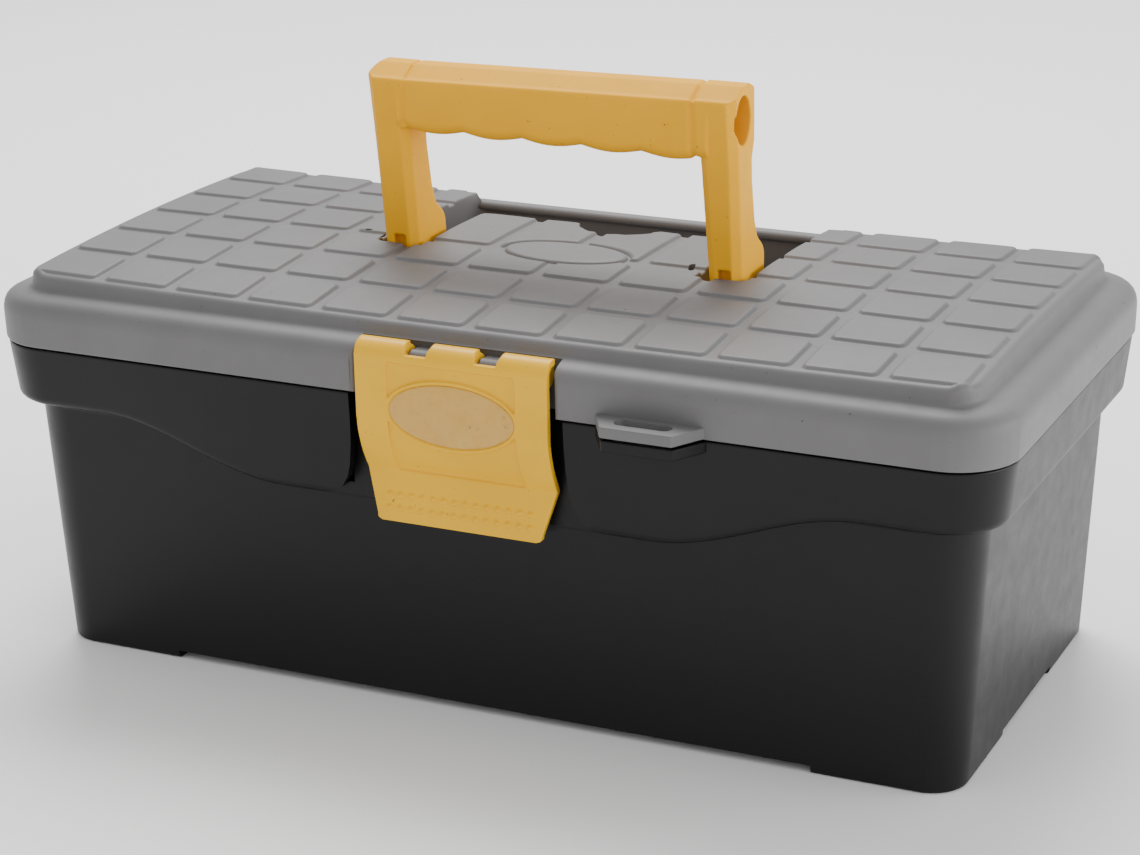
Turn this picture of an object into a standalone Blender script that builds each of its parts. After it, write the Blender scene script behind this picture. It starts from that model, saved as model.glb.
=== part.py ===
"""Small lidded toolbox with a lift-out tray.

Every piece is drawn in the box's own frame: X to the right, Y to the rear, Z up,
zero on the table and on the middle of the lid. A last shift in Y puts the origin
under the middle of the whole object.
"""
import math

import bmesh
import bpy
from mathutils import Matrix, Vector

MM = 0.001
NAME = "toolbox"

# ---- driving sizes, millimetres -------------------------------------------------
LID_X, LID_Y, LID_R = 175.0, 83.0, 21.0          # half length, half depth, corner radius
LID_BOTTOM, LID_WALL = 109.0, 2.2
SHOULDER_TOP, SHOULDER_FOOT = 121.0, 126.0       # where the skirt starts to round, platform foot
PLATE_X, PLATE_Y, PLATE_R = 163.0, 73.0, 10.0    # raised platform on the lid
CROWN = 135.15                                   # height over the tiles at the middle
TILE_RISE = 1.1
TILE_PITCH_X, TILE_PITCH_Y = 26.9, 24.5
TILE_X, TILE_Y = 23.4, 21.3
TILE_COLUMNS, TILE_ROWS = 12, 6

BIN_X, BIN_FRONT, BIN_REAR, BIN_R = 160.5, 71.0, 75.5, 12.4
BIN_WALL, FOOT_HEIGHT, FOOT_LENGTH = 2.2, 2.8, 47.0
DRAFT, REAR_DRAFT = 4.8, 3.4                     # how much the body widens up to the band
BAND_X, BAND_FRONT, BAND_REAR, BAND_R = 171.9, 80.4, 80.4, 18.0   # just above the lower edge
BAND_DRAFT, BAND_TOP = 1.9, 108.5                # how much the band widens up to its top
BAND_LOW, BAND_HIGH = 71.8, 87.6                 # lower edge: middle of the front, elsewhere
WAVE_START, WAVE_END = 62.0, 128.0
RIM_INSET, RIM_TOP, LEDGE = 0.3, 111.5, 3.9      # the ledge stands this far above the band's edge
POCKET_BACK, POCKET_HALF = -75.2, 37.0           # the band's break behind the latch
FIELD_HALF, FIELD_DEEP, CATCH_HALF = 25.0, 1.8, 22.0   # sunk field in the pocket, and its catch

HINGE_Y, HINGE_Z = 87.0, 106.0                   # rear hinge axis
HINGE_X, HINGE_R, HINGE_BORE, HINGE_PIN_R = 110.0, 4.2, 1.8, 1.5

LATCH_Y, LATCH_Z = -79.5, 121.8                  # latch hinge axis
LATCH_X, LATCH_ROLL, LATCH_THICK = 33.0, 5.2, 2.2
LATCH_STRAIGHT_END = 104.0
LATCH_CREASE = (-78.4, 83.5)
LATCH_TIP = (-81.6, 67.2)
LATCH_TIP_X = 28.4
LATCH_KNUCKLE_X, LATCH_KNUCKLE_R, LATCH_PIN_R = 12.0, 2.6, 1.3
LATCH_ZONE = 34.3                                # half width of the lid's pocket for the latch
BADGE_X, BADGE_HEIGHT, BADGE_Z = 21.5, 10.0, 105.6   # half length, half height, centre

HASP_X, HASP_REACH, HASP_THICK = 65.9, 93.6, 3.6
HASP_ROOT_HALF, HASP_TIP_HALF = 17.8, 12.2
HASP_SLOT = (18.7, 5.0, -87.6)                   # length, width, centre in Y

RECESS_X, RECESS_FRONT, RECESS_REAR = 66.5, -7.4, 70.8
RECESS_FLOOR, RECESS_WALL = 109.8, 2.0
ISLAND_X, ISLAND_REAR = 49.5, 41.0
SCOOP_X, SCOOP_HALF, SCOOP_DEEP, SCOOP_FLOOR = 1.5, 14.0, 11.0, 122.0
EMBLEM_PLACE, EMBLEM_X, EMBLEM_Y = (0.8, 10.4), 28.0, 11.0   # blank oval on the island

PIVOT_Y, PIVOT_Z = -1.5, 127.5                   # handle pivot axis
HANDLE_TOP, LEG_INNER, LEG_OUTER, LEG_FLARE = 195.5, 52.5, 64.0, 1.9
GRIP_FRONT, GRIP_BACK = -11.4, 6.8
GRIP_BOTTOM, GRIP_BULGE, FINGERS = 176.2, 1.5, 5
HANDLE_PIN_R, HANDLE_PIN_BORE = 2.0, 2.35

TRAY_X, TRAY_FRONT, TRAY_REAR, TRAY_R = 155.0, 64.5, 69.5, 8.0
TRAY_FLOOR, TRAY_TOP, TRAY_WALL, TRAY_RIB = 56.0, 93.8, 1.8, 3.0
GAP, TRAY_GROOVE = 0.3, 0.8                       # play between pieces, depth of the grooves
TRAY_FLANGE_X, TRAY_MIDDLE = 166.0, 2.5
ARCH_OUTER, ARCH_INNER, ARCH_TOP, ARCH_THICK = 44.0, 36.0, 111.0, 8.0
DIVIDERS = (("tray_divider_front_left", -1, -62.0), ("tray_divider_front_right", -1, 62.0),
            ("tray_divider_rear_left", 1, -84.0), ("tray_divider_rear_right", 1, 84.0))
DIVIDER_THICK, DIVIDER_TOP, SLOT_WIDTH = 1.6, 88.0, 2.4

CENTRE_SHIFT = (HASP_REACH - HINGE_Y - HINGE_R) / 2   # origin under the middle of the object
CORNER_STEPS, OVAL_STEPS = 5, 32
BIN_STEPS, LID_STEPS = (30, 1, 1), (8, 4, 8)     # divisions of the front, the sides, the rear

# ---- colours --------------------------------------------------------------------
BLACK = (0.020, 0.019, 0.022)
GREY = (0.375, 0.368, 0.370)
YELLOW = (0.830, 0.440, 0.100)
LATCH_YELLOW = (0.700, 0.380, 0.090)
BADGE = (0.720, 0.450, 0.180)
STEEL = (0.560, 0.560, 0.570)
TRAY_BLACK = (0.030, 0.030, 0.033)
DIVIDER_GREY = (0.180, 0.178, 0.180)


# ---- scene and small helpers ----------------------------------------------------
for old in list(bpy.data.objects):
    bpy.data.objects.remove(old, do_unlink=True)

parts = bpy.data.collections.new(NAME)
cutters = bpy.data.collections.new(NAME + "_cutters")
for group in (parts, cutters):
    bpy.context.scene.collection.children.link(group)


def material(name, colour, roughness, metallic=0.0):
    """A plain Principled material."""
    made = bpy.data.materials.new(name)
    made.use_nodes = True
    shader = made.node_tree.nodes["Principled BSDF"]
    shader.inputs["Base Color"].default_value = (*colour, 1.0)
    shader.inputs["Roughness"].default_value = roughness
    shader.inputs["Metallic"].default_value = metallic
    return made


def to_object(name, bm):
    """A cutter object in metres from a bmesh drawn in millimetres."""
    bmesh.ops.scale(bm, vec=(MM, MM, MM), verts=bm.verts)
    bmesh.ops.recalc_face_normals(bm, faces=bm.faces)
    mesh = bpy.data.meshes.new(name)
    bm.to_mesh(mesh)
    bm.free()
    made = bpy.data.objects.new(name, mesh)
    cutters.objects.link(made)
    made.display_type = 'WIRE'
    made.hide_render = True
    return made


def block(name, x, y, z):
    """A box between the given limits on each axis."""
    bm = bmesh.new()
    bmesh.ops.create_cube(bm, size=1.0)
    spans = [limits[1] - limits[0] for limits in (x, y, z)]
    middles = [(limits[0] + limits[1]) / 2 for limits in (x, y, z)]
    bmesh.ops.scale(bm, vec=spans, verts=bm.verts)
    bmesh.ops.translate(bm, vec=middles, verts=bm.verts)
    return to_object(name, bm)


def rod(name, radius, x0, x1, y, z, sides=20, oval=1.0):
    """A round bar along X; oval stretches its height."""
    bm = bmesh.new()
    bmesh.ops.create_cone(bm, cap_ends=True, segments=sides, radius1=radius, radius2=radius,
                          depth=x1 - x0)
    bmesh.ops.rotate(bm, verts=bm.verts, matrix=Matrix.Rotation(math.pi / 2, 3, 'Y'))
    bmesh.ops.scale(bm, vec=(1.0, 1.0, oval), verts=bm.verts)
    bmesh.ops.translate(bm, vec=((x0 + x1) / 2, y, z), verts=bm.verts)
    return to_object(name, bm)


def prism(name, outline, low, high, axis):
    """A flat outline drawn as a filled curve and extruded along one axis."""
    curve = bpy.data.curves.new(name + "_outline", 'CURVE')
    curve.dimensions = '2D'
    curve.fill_mode = 'BOTH'
    curve.extrude = (high - low) / 2 * MM
    spline = curve.splines.new('POLY')
    spline.points.add(len(outline) - 1)
    for point, (u, v) in zip(spline.points, outline):
        point.co = (u * MM, v * MM, 0.0, 1.0)
    spline.use_cyclic_u = True
    drawn = bpy.data.objects.new(name + "_outline", curve)
    bpy.context.scene.collection.objects.link(drawn)
    evaluated = drawn.evaluated_get(bpy.context.evaluated_depsgraph_get())
    mesh = bpy.data.meshes.new_from_object(evaluated)
    bm = bmesh.new()
    bm.from_mesh(mesh)
    bpy.data.objects.remove(drawn, do_unlink=True)
    bmesh.ops.remove_doubles(bm, verts=bm.verts, dist=0.000002)
    bmesh.ops.dissolve_limit(bm, angle_limit=0.001, verts=bm.verts, edges=bm.edges)
    middle = (high + low) / 2 * MM
    turn = {'X': Matrix(((0, 0, 1, middle), (1, 0, 0, 0), (0, 1, 0, 0), (0, 0, 0, 1))),
            'Y': Matrix(((1, 0, 0, 0), (0, 0, 1, middle), (0, 1, 0, 0), (0, 0, 0, 1))),
            'Z': Matrix.Translation((0, 0, middle))}[axis]
    bmesh.ops.transform(bm, matrix=turn, verts=bm.verts)
    bmesh.ops.scale(bm, vec=(1 / MM, 1 / MM, 1 / MM), verts=bm.verts)
    return to_object(name, bm)


def arc(cx, cy, radius, start, end, steps):
    """Points of an arc, angles in degrees."""
    angles = [math.radians(start + (end - start) * i / steps) for i in range(steps + 1)]
    return [(cx + radius * math.cos(a), cy + radius * math.sin(a)) for a in angles]


def ellipse(cx, cy, half_x, half_y, count):
    """Points of an upright ellipse."""
    angles = [math.tau * i / count for i in range(count)]
    return [(cx + half_x * math.cos(a), cy + half_y * math.sin(a)) for a in angles]


def rounded(half_x, front, rear, radius, steps=(1, 1, 1)):
    """A rounded rectangle, anticlockwise from the front left; steps divide front, sides and rear."""
    x, r = half_x - radius, radius
    n = CORNER_STEPS
    corners = (arc(-x, -front + r, r, 180, 270, n), arc(x, -front + r, r, 270, 360, n),
               arc(x, rear - r, r, 0, 90, n), arc(-x, rear - r, r, 90, 180, n))
    counts = (steps[0], steps[1], steps[2], steps[1])
    points = []
    for corner, after, count in zip(corners, corners[1:] + corners[:1], counts):
        start, end = Vector(corner[-1]), Vector(after[0])
        points += corner
        points += [tuple(start.lerp(end, i / count)) for i in range(1, count)]
    return points


def loft(name, rings):
    """A closed body through rings that have the same number of points."""
    bm = bmesh.new()
    levels = [[bm.verts.new(point) for point in ring] for ring in rings]
    count = len(rings[0])
    for low, high in zip(levels, levels[1:]):
        for i in range(count):
            j = (i + 1) % count
            bm.faces.new((low[i], low[j], high[j], high[i]))
    bm.faces.new(levels[0])
    bm.faces.new(levels[-1])
    bmesh.ops.triangulate(bm, faces=bm.faces)
    return to_object(name, bm)


def combine(target, tool, how):
    """Join, cut or trim the target with the tool, and drop the tool."""
    modifier = target.modifiers.new(how.lower(), 'BOOLEAN')
    modifier.operation = how
    modifier.solver = 'EXACT'
    modifier.object = tool
    bpy.context.view_layer.update()
    evaluated = target.evaluated_get(bpy.context.evaluated_depsgraph_get())
    mesh = bpy.data.meshes.new_from_object(evaluated)
    target.modifiers.clear()
    target.data = mesh
    bpy.data.objects.remove(tool, do_unlink=True)


def add(target, *tools):
    for tool in tools:
        combine(target, tool, 'UNION')


def cut(target, *tools):
    for tool in tools:
        combine(target, tool, 'DIFFERENCE')


def finish(made, name, finish_material, bevel=0.0):
    """Name a piece, give it its material and file it with the parts."""
    made.name = name
    made.data.name = name
    made.data.materials.clear()
    made.data.materials.append(finish_material)
    cutters.objects.unlink(made)
    parts.objects.link(made)
    made.display_type = 'TEXTURED'
    made.hide_render = False
    if bevel:
        edge = made.modifiers.new("edges", 'BEVEL')
        edge.width = bevel * MM
        edge.segments = 1
        edge.limit_method = 'ANGLE'
        edge.angle_limit = math.radians(50)
    made.data.shade_smooth()
    made.data.set_sharp_from_angle(angle=math.radians(35))
    return made


# ---- bin ------------------------------------------------------------------------
def band_edge(x, y):
    """Height of the band's lower edge: a wave that dips towards the middle of the front."""
    if y > 0:
        return BAND_HIGH
    t = min(max((abs(x) - WAVE_START) / (WAVE_END - WAVE_START), 0.0), 1.0)
    return BAND_LOW + (BAND_HIGH - BAND_LOW) * (0.5 - 0.5 * math.cos(math.pi * t))


def body_ring(height, inset=0.0):
    """The bin's drafted body; height is a number or a function of the point."""
    base = rounded(BIN_X, BIN_FRONT, BIN_REAR, BIN_R, BIN_STEPS)
    ring = []
    for index, (x, y) in enumerate(base):
        z = height(x, y) if callable(height) else height
        grow = (z - FOOT_HEIGHT) / (BAND_HIGH - FOOT_HEIGHT)
        out = DRAFT * grow - inset
        outline = rounded(BIN_X + out, BIN_FRONT + out, BIN_REAR + REAR_DRAFT * grow - inset,
                          max(BIN_R + out, 4.0), BIN_STEPS)
        ring.append((*outline[index], z))
    return ring


def band_ring(height, inset=0.0):
    """The proud band round the top of the bin."""
    outline = rounded(BAND_X - inset, BAND_FRONT - inset, BAND_REAR - inset, BAND_R - inset,
                      BIN_STEPS)
    return [(x, y, height(x, y) if callable(height) else height) for x, y in outline]


def bin_shell():
    """The black bin: drafted walls, wavy band, rim, feet, latch pocket, tab and knuckles."""
    bottom_round = 1.0
    inner = RIM_INSET + BIN_WALL
    made = loft("bin", [
        body_ring(0.0, bottom_round),
        body_ring(bottom_round),
        body_ring(lambda x, y: band_edge(x, y) - 1.5),
        band_ring(lambda x, y: band_edge(x, y) + 0.9, 1.9),
        band_ring(lambda x, y: band_edge(x, y) + 4.0, 0.2),
        band_ring(BAND_TOP, -BAND_DRAFT),
        band_ring(BAND_TOP, RIM_INSET),
        band_ring(RIM_TOP, RIM_INSET),
        band_ring(RIM_TOP, inner),
        band_ring(lambda x, y: band_edge(x, y) + LEDGE, inner),
        body_ring(lambda x, y: band_edge(x, y) + LEDGE, BIN_WALL),
        body_ring(FOOT_HEIGHT + BIN_WALL, BIN_WALL)])
    cut_feet(made)
    cut_latch_pocket(made)
    # hasp tab below the lid's eye
    top = LID_BOTTOM - 0.6
    add(made, hasp_plate("tab", top - HASP_THICK, top, HASP_REACH - 0.6, -BAND_FRONT + 1.0))
    cut(made, hasp_slot("tab_slot", top - 10, top + 5))
    for side in (-1, 1):
        add_bin_knuckles(made, side)
    return finish(made, "bin_shell", material("bin_black", BLACK, 0.45))


def cut_feet(made):
    """A low cross of clearance under the floor leaves one foot at each corner."""
    wide = 200.0
    end_x = BIN_X - FOOT_LENGTH
    cut(made,
        block("gap_along", (-end_x, end_x), (-wide, wide), (-5.0, FOOT_HEIGHT)),
        block("gap_across", (-wide, wide), (FOOT_LENGTH - BIN_FRONT, BIN_REAR - FOOT_LENGTH),
              (-5.0, FOOT_HEIGHT)))


def cut_latch_pocket(made):
    """The band stops beside the latch; behind it are a flat wall, a sunk field and a catch."""
    back, half = POCKET_BACK, POCKET_HALF
    side = [(half, 120.0), (half, 100.0), (half + 0.3, 92.0), (half + 1.2, 84.0), (half + 2.4, 79.5),
            (half + 4.6, 75.8), (half + 8.2, 73.4), (half + 15.0, 71.8), (half + 16.0, 68.0)]
    outline = side + [(-x, z) for x, z in reversed(side)]
    sunk = back + FIELD_DEEP
    add(made,
        block("pad", (-half - 3, half + 3), (back - 1.0, back + BIN_WALL), (68.0, 108.0)),
        block("thick_pad", (-FIELD_HALF - 3, FIELD_HALF + 3), (back, sunk + BIN_WALL), (77.0, 108.0)))
    cut(made,
        prism("pocket", outline, -100.0, back, 'Y'),
        block("sunk_field", (-FIELD_HALF, FIELD_HALF), (-100.0, sunk), (81.0, 120.0)),
        block("rim_cut", (-half - 1.5, half + 1.5), (-100.0, -60.0), (LID_BOTTOM - 0.4, 120.0)))
    catch = [(sunk + 1, 84.0), (back - 0.3, 88.0), (back - 0.6, 97.0), (sunk + 1, 100.0)]
    add(made, prism("catch", catch, -CATCH_HALF, CATCH_HALF, 'X'))


def add_bin_knuckles(made, side):
    """Two knuckles at one rear hinge, and the pin's bore."""
    inner, outer = 8.3, 17.5
    arm = [(BAND_REAR - 1.0, 99.0), (HINGE_Y + 1.5, HINGE_Z - HINGE_R + 0.5),
           (HINGE_Y + 1.5, HINGE_Z + 2.0), (BAND_REAR - 1.0, HINGE_Z + 2.0)]
    for step in (-1, 1):
        x0, x1 = sorted((side * HINGE_X + step * inner, side * HINGE_X + step * outer))
        add(made, prism("arm", arm, x0, x1, 'X'),
            rod("knuckle", HINGE_R, x0, x1, HINGE_Y, HINGE_Z))
    cut(made, rod("bore", HINGE_BORE, side * HINGE_X - 20.0, side * HINGE_X + 20.0,
                  HINGE_Y, HINGE_Z, 16))


def hasp_plate(name, low, high, reach, root):
    """A tapered plate with a straight root inside the wall."""
    outline = [(HASP_X - HASP_ROOT_HALF, root), (HASP_X - HASP_ROOT_HALF, -LID_Y + 0.3),
               (HASP_X - HASP_TIP_HALF, -reach), (HASP_X + HASP_TIP_HALF, -reach),
               (HASP_X + HASP_ROOT_HALF, -LID_Y + 0.3), (HASP_X + HASP_ROOT_HALF, root)]
    return prism(name, outline, low, high, 'Z')


def hasp_slot(name, low, high):
    """The long hole for a shackle."""
    length, width, y = HASP_SLOT
    r = width / 2
    outline = arc(HASP_X + length / 2 - r, y, r, -90, 90, 6)
    outline += arc(HASP_X - length / 2 + r, y, r, 90, 270, 6)
    return prism(name, outline, low, high, 'Z')


# ---- lid ------------------------------------------------------------------------
def crown(x, y):
    """Height over the tiles: the lid's top is gently domed, most from front to rear."""
    u = (x / (6 * TILE_PITCH_X)) ** 2
    v = (y / (3 * TILE_PITCH_X)) ** 2
    return CROWN - 0.73 * u - 4.47 * v + 2.13 * u * v


def lid_ring(inset, height):
    """A ring parallel to the skirt."""
    outline = rounded(LID_X - inset, LID_Y - inset, LID_Y - inset, LID_R - inset, LID_STEPS)
    return [(x, y, height) for x, y in outline]


def plate_ring(half_x, half_y, radius, drop):
    """A ring on the platform, that follows the crown."""
    outline = rounded(half_x, half_y, half_y, radius, LID_STEPS)
    return [(x, y, crown(x, y) - TILE_RISE - drop) for x, y in outline]


def plate_top(drop, shares):
    """Shrinking rings across the top of the platform."""
    return [plate_ring(PLATE_X * s, PLATE_Y * s, PLATE_R * s, drop) for s in shares]


def lid_skin():
    """The lid without its details: the outside first, then the hollow underside."""
    shares = (1.0, 0.8, 0.6, 0.4, 0.2)
    out = LID_WALL
    foot_inset = LID_X - PLATE_X - out
    foot_out = [(x, y, SHOULDER_FOOT)
                for x, y, top in plate_ring(PLATE_X + out, PLATE_Y + out, PLATE_R + out, 0)]
    foot_in = [(x, y, SHOULDER_FOOT - out) for x, y, top in plate_ring(PLATE_X, PLATE_Y, PLATE_R, 0)]
    return loft("lid", list(reversed(plate_top(0.0, shares))) + [
        plate_ring(PLATE_X + 0.9, PLATE_Y + 0.9, PLATE_R + 0.9, 0.8),
        foot_out,
        lid_ring(2.6, SHOULDER_TOP + 3.6),
        lid_ring(0.8, SHOULDER_TOP + 2.3),
        lid_ring(0.0, SHOULDER_TOP),
        lid_ring(0.3, LID_BOTTOM),
        lid_ring(0.3 + LID_WALL, LID_BOTTOM),
        lid_ring(LID_WALL, SHOULDER_TOP - 0.5),
        lid_ring(foot_inset - 4.8, SHOULDER_TOP + 1.6),
        foot_in] + plate_top(LID_WALL, (0.985, 0.8, 0.6, 0.4, 0.2)))


def under_crown(y0, y1, low):
    """A Y-Z outline whose top stays just under the platform."""
    steps = 6
    ys = [y0 + (y1 - y0) * i / steps for i in range(steps + 1)]
    return [(y0, low), (y1, low)] + [(y, crown(60.0, y) - TILE_RISE - 0.5) for y in reversed(ys)]


def add_recess(made):
    """The U-shaped well that the handle folds back into."""
    out = RECESS_WALL
    low = RECESS_FLOOR - out
    legs = under_crown(RECESS_FRONT - out, RECESS_REAR + out, low)
    rear = under_crown(ISLAND_REAR - out, RECESS_REAR + out, low)
    for side in (-1, 1):
        x0, x1 = sorted((side * (ISLAND_X - out), side * (RECESS_X + out)))
        add(made, prism("leg_well", legs, x0, x1, 'X'))
    add(made, prism("rear_well", rear, -RECESS_X - out, RECESS_X + out, 'X'))
    scoop_wall = under_crown(ISLAND_REAR - SCOOP_DEEP - out, ISLAND_REAR, SCOOP_FLOOR - out)
    add(made, prism("scoop_wall", scoop_wall, SCOOP_X - SCOOP_HALF - out,
                    SCOOP_X + SCOOP_HALF + out, 'X'))


def cut_recess(made):
    """Open the well, the finger scoop and the bores for the handle's pins."""
    for side in (-1, 1):
        x0, x1 = sorted((side * ISLAND_X, side * RECESS_X))
        cut(made, block("leg_cut", (x0, x1), (RECESS_FRONT, RECESS_REAR), (RECESS_FLOOR, 140.0)))
    cut(made, block("rear_cut", (-RECESS_X, RECESS_X), (ISLAND_REAR, RECESS_REAR),
                    (RECESS_FLOOR, 140.0)))
    cut(made, prism("scoop", scoop_outline(), SCOOP_FLOOR, 140.0, 'Z'))
    for side in (-1, 1):
        x0, x1 = sorted((side * (ISLAND_X - 4), side * (RECESS_X + 4)))
        cut(made, rod("pivot_bore", HANDLE_PIN_BORE, x0, x1, PIVOT_Y, PIVOT_Z, 16))


def tile(x, y):
    """One raised tile with chamfered corners, tilted with the crown."""
    c = 2.4
    hx, hy = TILE_X / 2, TILE_Y / 2
    corners = [(-hx + c, -hy), (hx - c, -hy), (hx, -hy + c), (hx, hy - c),
               (hx - c, hy), (-hx + c, hy), (-hx, hy - c), (-hx, -hy + c)]
    rings = []
    for inset, drop in ((0.0, TILE_RISE + 0.6), (0.8, 0.0)):
        ring = []
        for u, v in corners:
            px, py = x + u * (1 - inset / hx), y + v * (1 - inset / hy)
            slope = crown(x, py) + (crown(px, y) - crown(x, y))
            ring.append((px, py, slope - drop))
        rings.append(ring)
    return rings


def tiles():
    """All raised tiles, stopped short of the recess and of the oval."""
    bm = bmesh.new()
    for column in range(TILE_COLUMNS):
        for row in range(TILE_ROWS):
            x = (column - (TILE_COLUMNS - 1) / 2) * TILE_PITCH_X
            y = (row - (TILE_ROWS - 1) / 2) * TILE_PITCH_Y
            if not (abs(x) < ISLAND_X and y > ISLAND_REAR):
                one = loft("tile", tile(x, y))
                bm.from_mesh(one.data)
                bpy.data.objects.remove(one, do_unlink=True)
    bmesh.ops.scale(bm, vec=(1 / MM, 1 / MM, 1 / MM), verts=bm.verts)
    made = to_object("tiles", bm)
    gap = 1.3
    for side in (-1, 1):
        x0, x1 = sorted((side * (ISLAND_X - gap), side * (RECESS_X + gap)))
        cut(made, block("leg_margin", (x0, x1), (RECESS_FRONT - gap, 90.0), (120.0, 140.0)))
    cut(made,
        block("rear_margin", (-RECESS_X - gap, RECESS_X + gap), (ISLAND_REAR - gap, 90.0),
              (120.0, 140.0)),
        prism("scoop_margin", scoop_outline(gap), 120.0, 140.0, 'Z'),
        prism("oval_margin", ellipse(*EMBLEM_PLACE, EMBLEM_X + gap, EMBLEM_Y + gap, OVAL_STEPS),
              120.0, 140.0, 'Z'))
    return made


def scoop_outline(gap=0.0):
    """The finger scoop in the island's rear edge."""
    return [(SCOOP_X + (SCOOP_HALF + gap) * math.cos(a),
             ISLAND_REAR + 1.0 + (SCOOP_DEEP + gap) * math.sin(a))
            for a in [math.radians(180 + 18 * i) for i in range(11)]]


def emblem():
    """A blank raised oval in the middle of the island."""
    rings = []
    for inset, drop in ((0.0, TILE_RISE + 0.6), (0.8, 0.0)):
        outline = ellipse(*EMBLEM_PLACE, EMBLEM_X - inset, EMBLEM_Y - inset, OVAL_STEPS)
        rings.append([(x, y, crown(x, y) - drop) for x, y in outline])
    return loft("emblem", rings)


def lid_shell(lid_grey):
    """The grey lid with its well, tiles, latch pocket and knuckles."""
    made = lid_skin()
    add_recess(made)
    # pocket for the latch: walls first, then the cut
    zone = LATCH_ZONE
    back = LATCH_Y + LATCH_ROLL + 0.4
    add(made,
        block("pocket_walls", (-zone - 2.2, zone + 2.2), (-81.0, back + 2.2), (LID_BOTTOM, 122.5)),
        block("pocket_back", (-zone - 2.2, zone + 2.2), (back - 0.5, back + 2.2), (121.5, 128.6)))
    cut(made, block("pocket", (-zone, zone), (-95.0, back), (100.0, SHOULDER_FOOT + 0.1)))
    cut_recess(made)
    add(made, tiles(), emblem())
    # knuckles that carry the latch pin
    for side in (-1, 1):
        x = side * LATCH_KNUCKLE_X
        add(made,
            block("arm", (x - 3.3, x + 3.3), (LATCH_Y, back + 1.0), (LATCH_Z - 2.2, LATCH_Z + 2.2)),
            rod("knuckle", LATCH_KNUCKLE_R, x - 3.3, x + 3.3, LATCH_Y, LATCH_Z, 16))
    cut(made, rod("latch_bore", LATCH_PIN_R + 0.3, -20.0, 20.0, LATCH_Y, LATCH_Z, 12))
    # one knuckle at each rear hinge
    for side in (-1, 1):
        x0, x1 = side * HINGE_X - 7.8, side * HINGE_X + 7.8
        arm = [(LID_Y - 1.5, 117.0), (LID_Y - 1.5, 112.0), (LID_Y - 0.3, 109.6),
               (HINGE_Y - 2.9, HINGE_Z), (HINGE_Y + HINGE_R - 0.1, HINGE_Z),
               (HINGE_Y + HINGE_R - 0.3, 110.0), (LID_Y + 1.5, 117.0)]
        add(made, prism("arm", arm, x0, x1, 'X'), rod("knuckle", HINGE_R, x0, x1, HINGE_Y, HINGE_Z))
        cut(made, rod("bore", HINGE_BORE, x0 - 1, x1 + 1, HINGE_Y, HINGE_Z, 16))
    return finish(made, "lid_shell", lid_grey)


def padlock_eye(lid_grey):
    """The plate with a shackle's slot, close in front of the lid's lower edge."""
    low = LID_BOTTOM + GAP
    made = hasp_plate("eye", low, low + HASP_THICK, HASP_REACH, -LID_Y + 1.2)
    cut(made, hasp_slot("eye_slot", low - 5, low + 10),
        block("behind", (0.0, LID_X), (-LID_Y - GAP, 0.0), (low - 5, low + 10)))
    return finish(made, "padlock_eye", lid_grey)


# ---- latch ----------------------------------------------------------------------
def latch_path():
    """The latch's outer face in Y-Z, from its rolled top down to its tip."""
    path = arc(LATCH_Y, LATCH_Z, LATCH_ROLL, 72, 180, 8)
    steps = 6
    y0 = LATCH_Y - LATCH_ROLL
    for i in range(steps + 1):
        t = i / steps
        path.append((y0 + (LATCH_CREASE[0] - y0) * t * t,
                     LATCH_STRAIGHT_END + (LATCH_CREASE[1] - LATCH_STRAIGHT_END) * t))
    return path + [LATCH_TIP]


def inside(path, distance):
    """The same path, moved towards the box by a distance."""
    moved = []
    for i, (y, z) in enumerate(path):
        before = Vector(path[max(i - 1, 0)])
        after = Vector(path[min(i + 1, len(path) - 1)])
        along = (after - before).normalized()
        moved.append((y - along.y * distance, z + along.x * distance))
    return moved


def latch_plate():
    """The curved plate that hangs from a rolled edge, notched for the lid's two knuckles."""
    path = latch_path()
    made = prism("latch", path + list(reversed(inside(path, LATCH_THICK))), -LATCH_X, LATCH_X, 'X')
    for vertex in made.data.vertices:
        below = max(LATCH_CREASE[1] - vertex.co.z / MM, 0.0)
        narrow = (LATCH_X - LATCH_TIP_X) * below / (LATCH_CREASE[1] - LATCH_TIP[1])
        vertex.co.x *= 1 - narrow / LATCH_X
    add(made, rod("barrel", LATCH_ROLL - 1.0, -LATCH_X + 1.5, LATCH_X - 1.5, LATCH_Y, LATCH_Z, 20))
    for side in (-1, 1):
        x = (side * LATCH_KNUCKLE_X - 3.8, side * LATCH_KNUCKLE_X + 3.8)
        skin = LATCH_Y - LATCH_ROLL + LATCH_THICK
        cut(made,
            block("gap", x, (skin, -65.0), (LATCH_Z - 7.0, 130.0)),
            block("notch", x, (-95.0, -65.0), (LATCH_Z + 1.8, 130.0)))
    cut(made, rod("bore", LATCH_PIN_R + 0.3, -20.0, 20.0, LATCH_Y, LATCH_Z, 12))
    # shallow oval seat for the badge
    face = LATCH_Y - LATCH_ROLL
    cut(made, oval("seat", BADGE_X + 0.4, BADGE_HEIGHT + 0.4, face - 1.0, face + 0.7))
    return finish(made, "latch_plate", material("latch_yellow", LATCH_YELLOW, 0.4))


def oval(name, half_x, half_z, low, high):
    """An upright oval disc between two depths."""
    return prism(name, ellipse(0.0, BADGE_Z, half_x, half_z, OVAL_STEPS), low, high, 'Y')


def badge():
    """The blank inlay, just proud of the bottom of its seat."""
    face = LATCH_Y - LATCH_ROLL
    return finish(oval("badge", BADGE_X, BADGE_HEIGHT, face + 0.05, face + 0.4), "latch_badge",
                  material("badge_amber", BADGE, 0.25))


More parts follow.
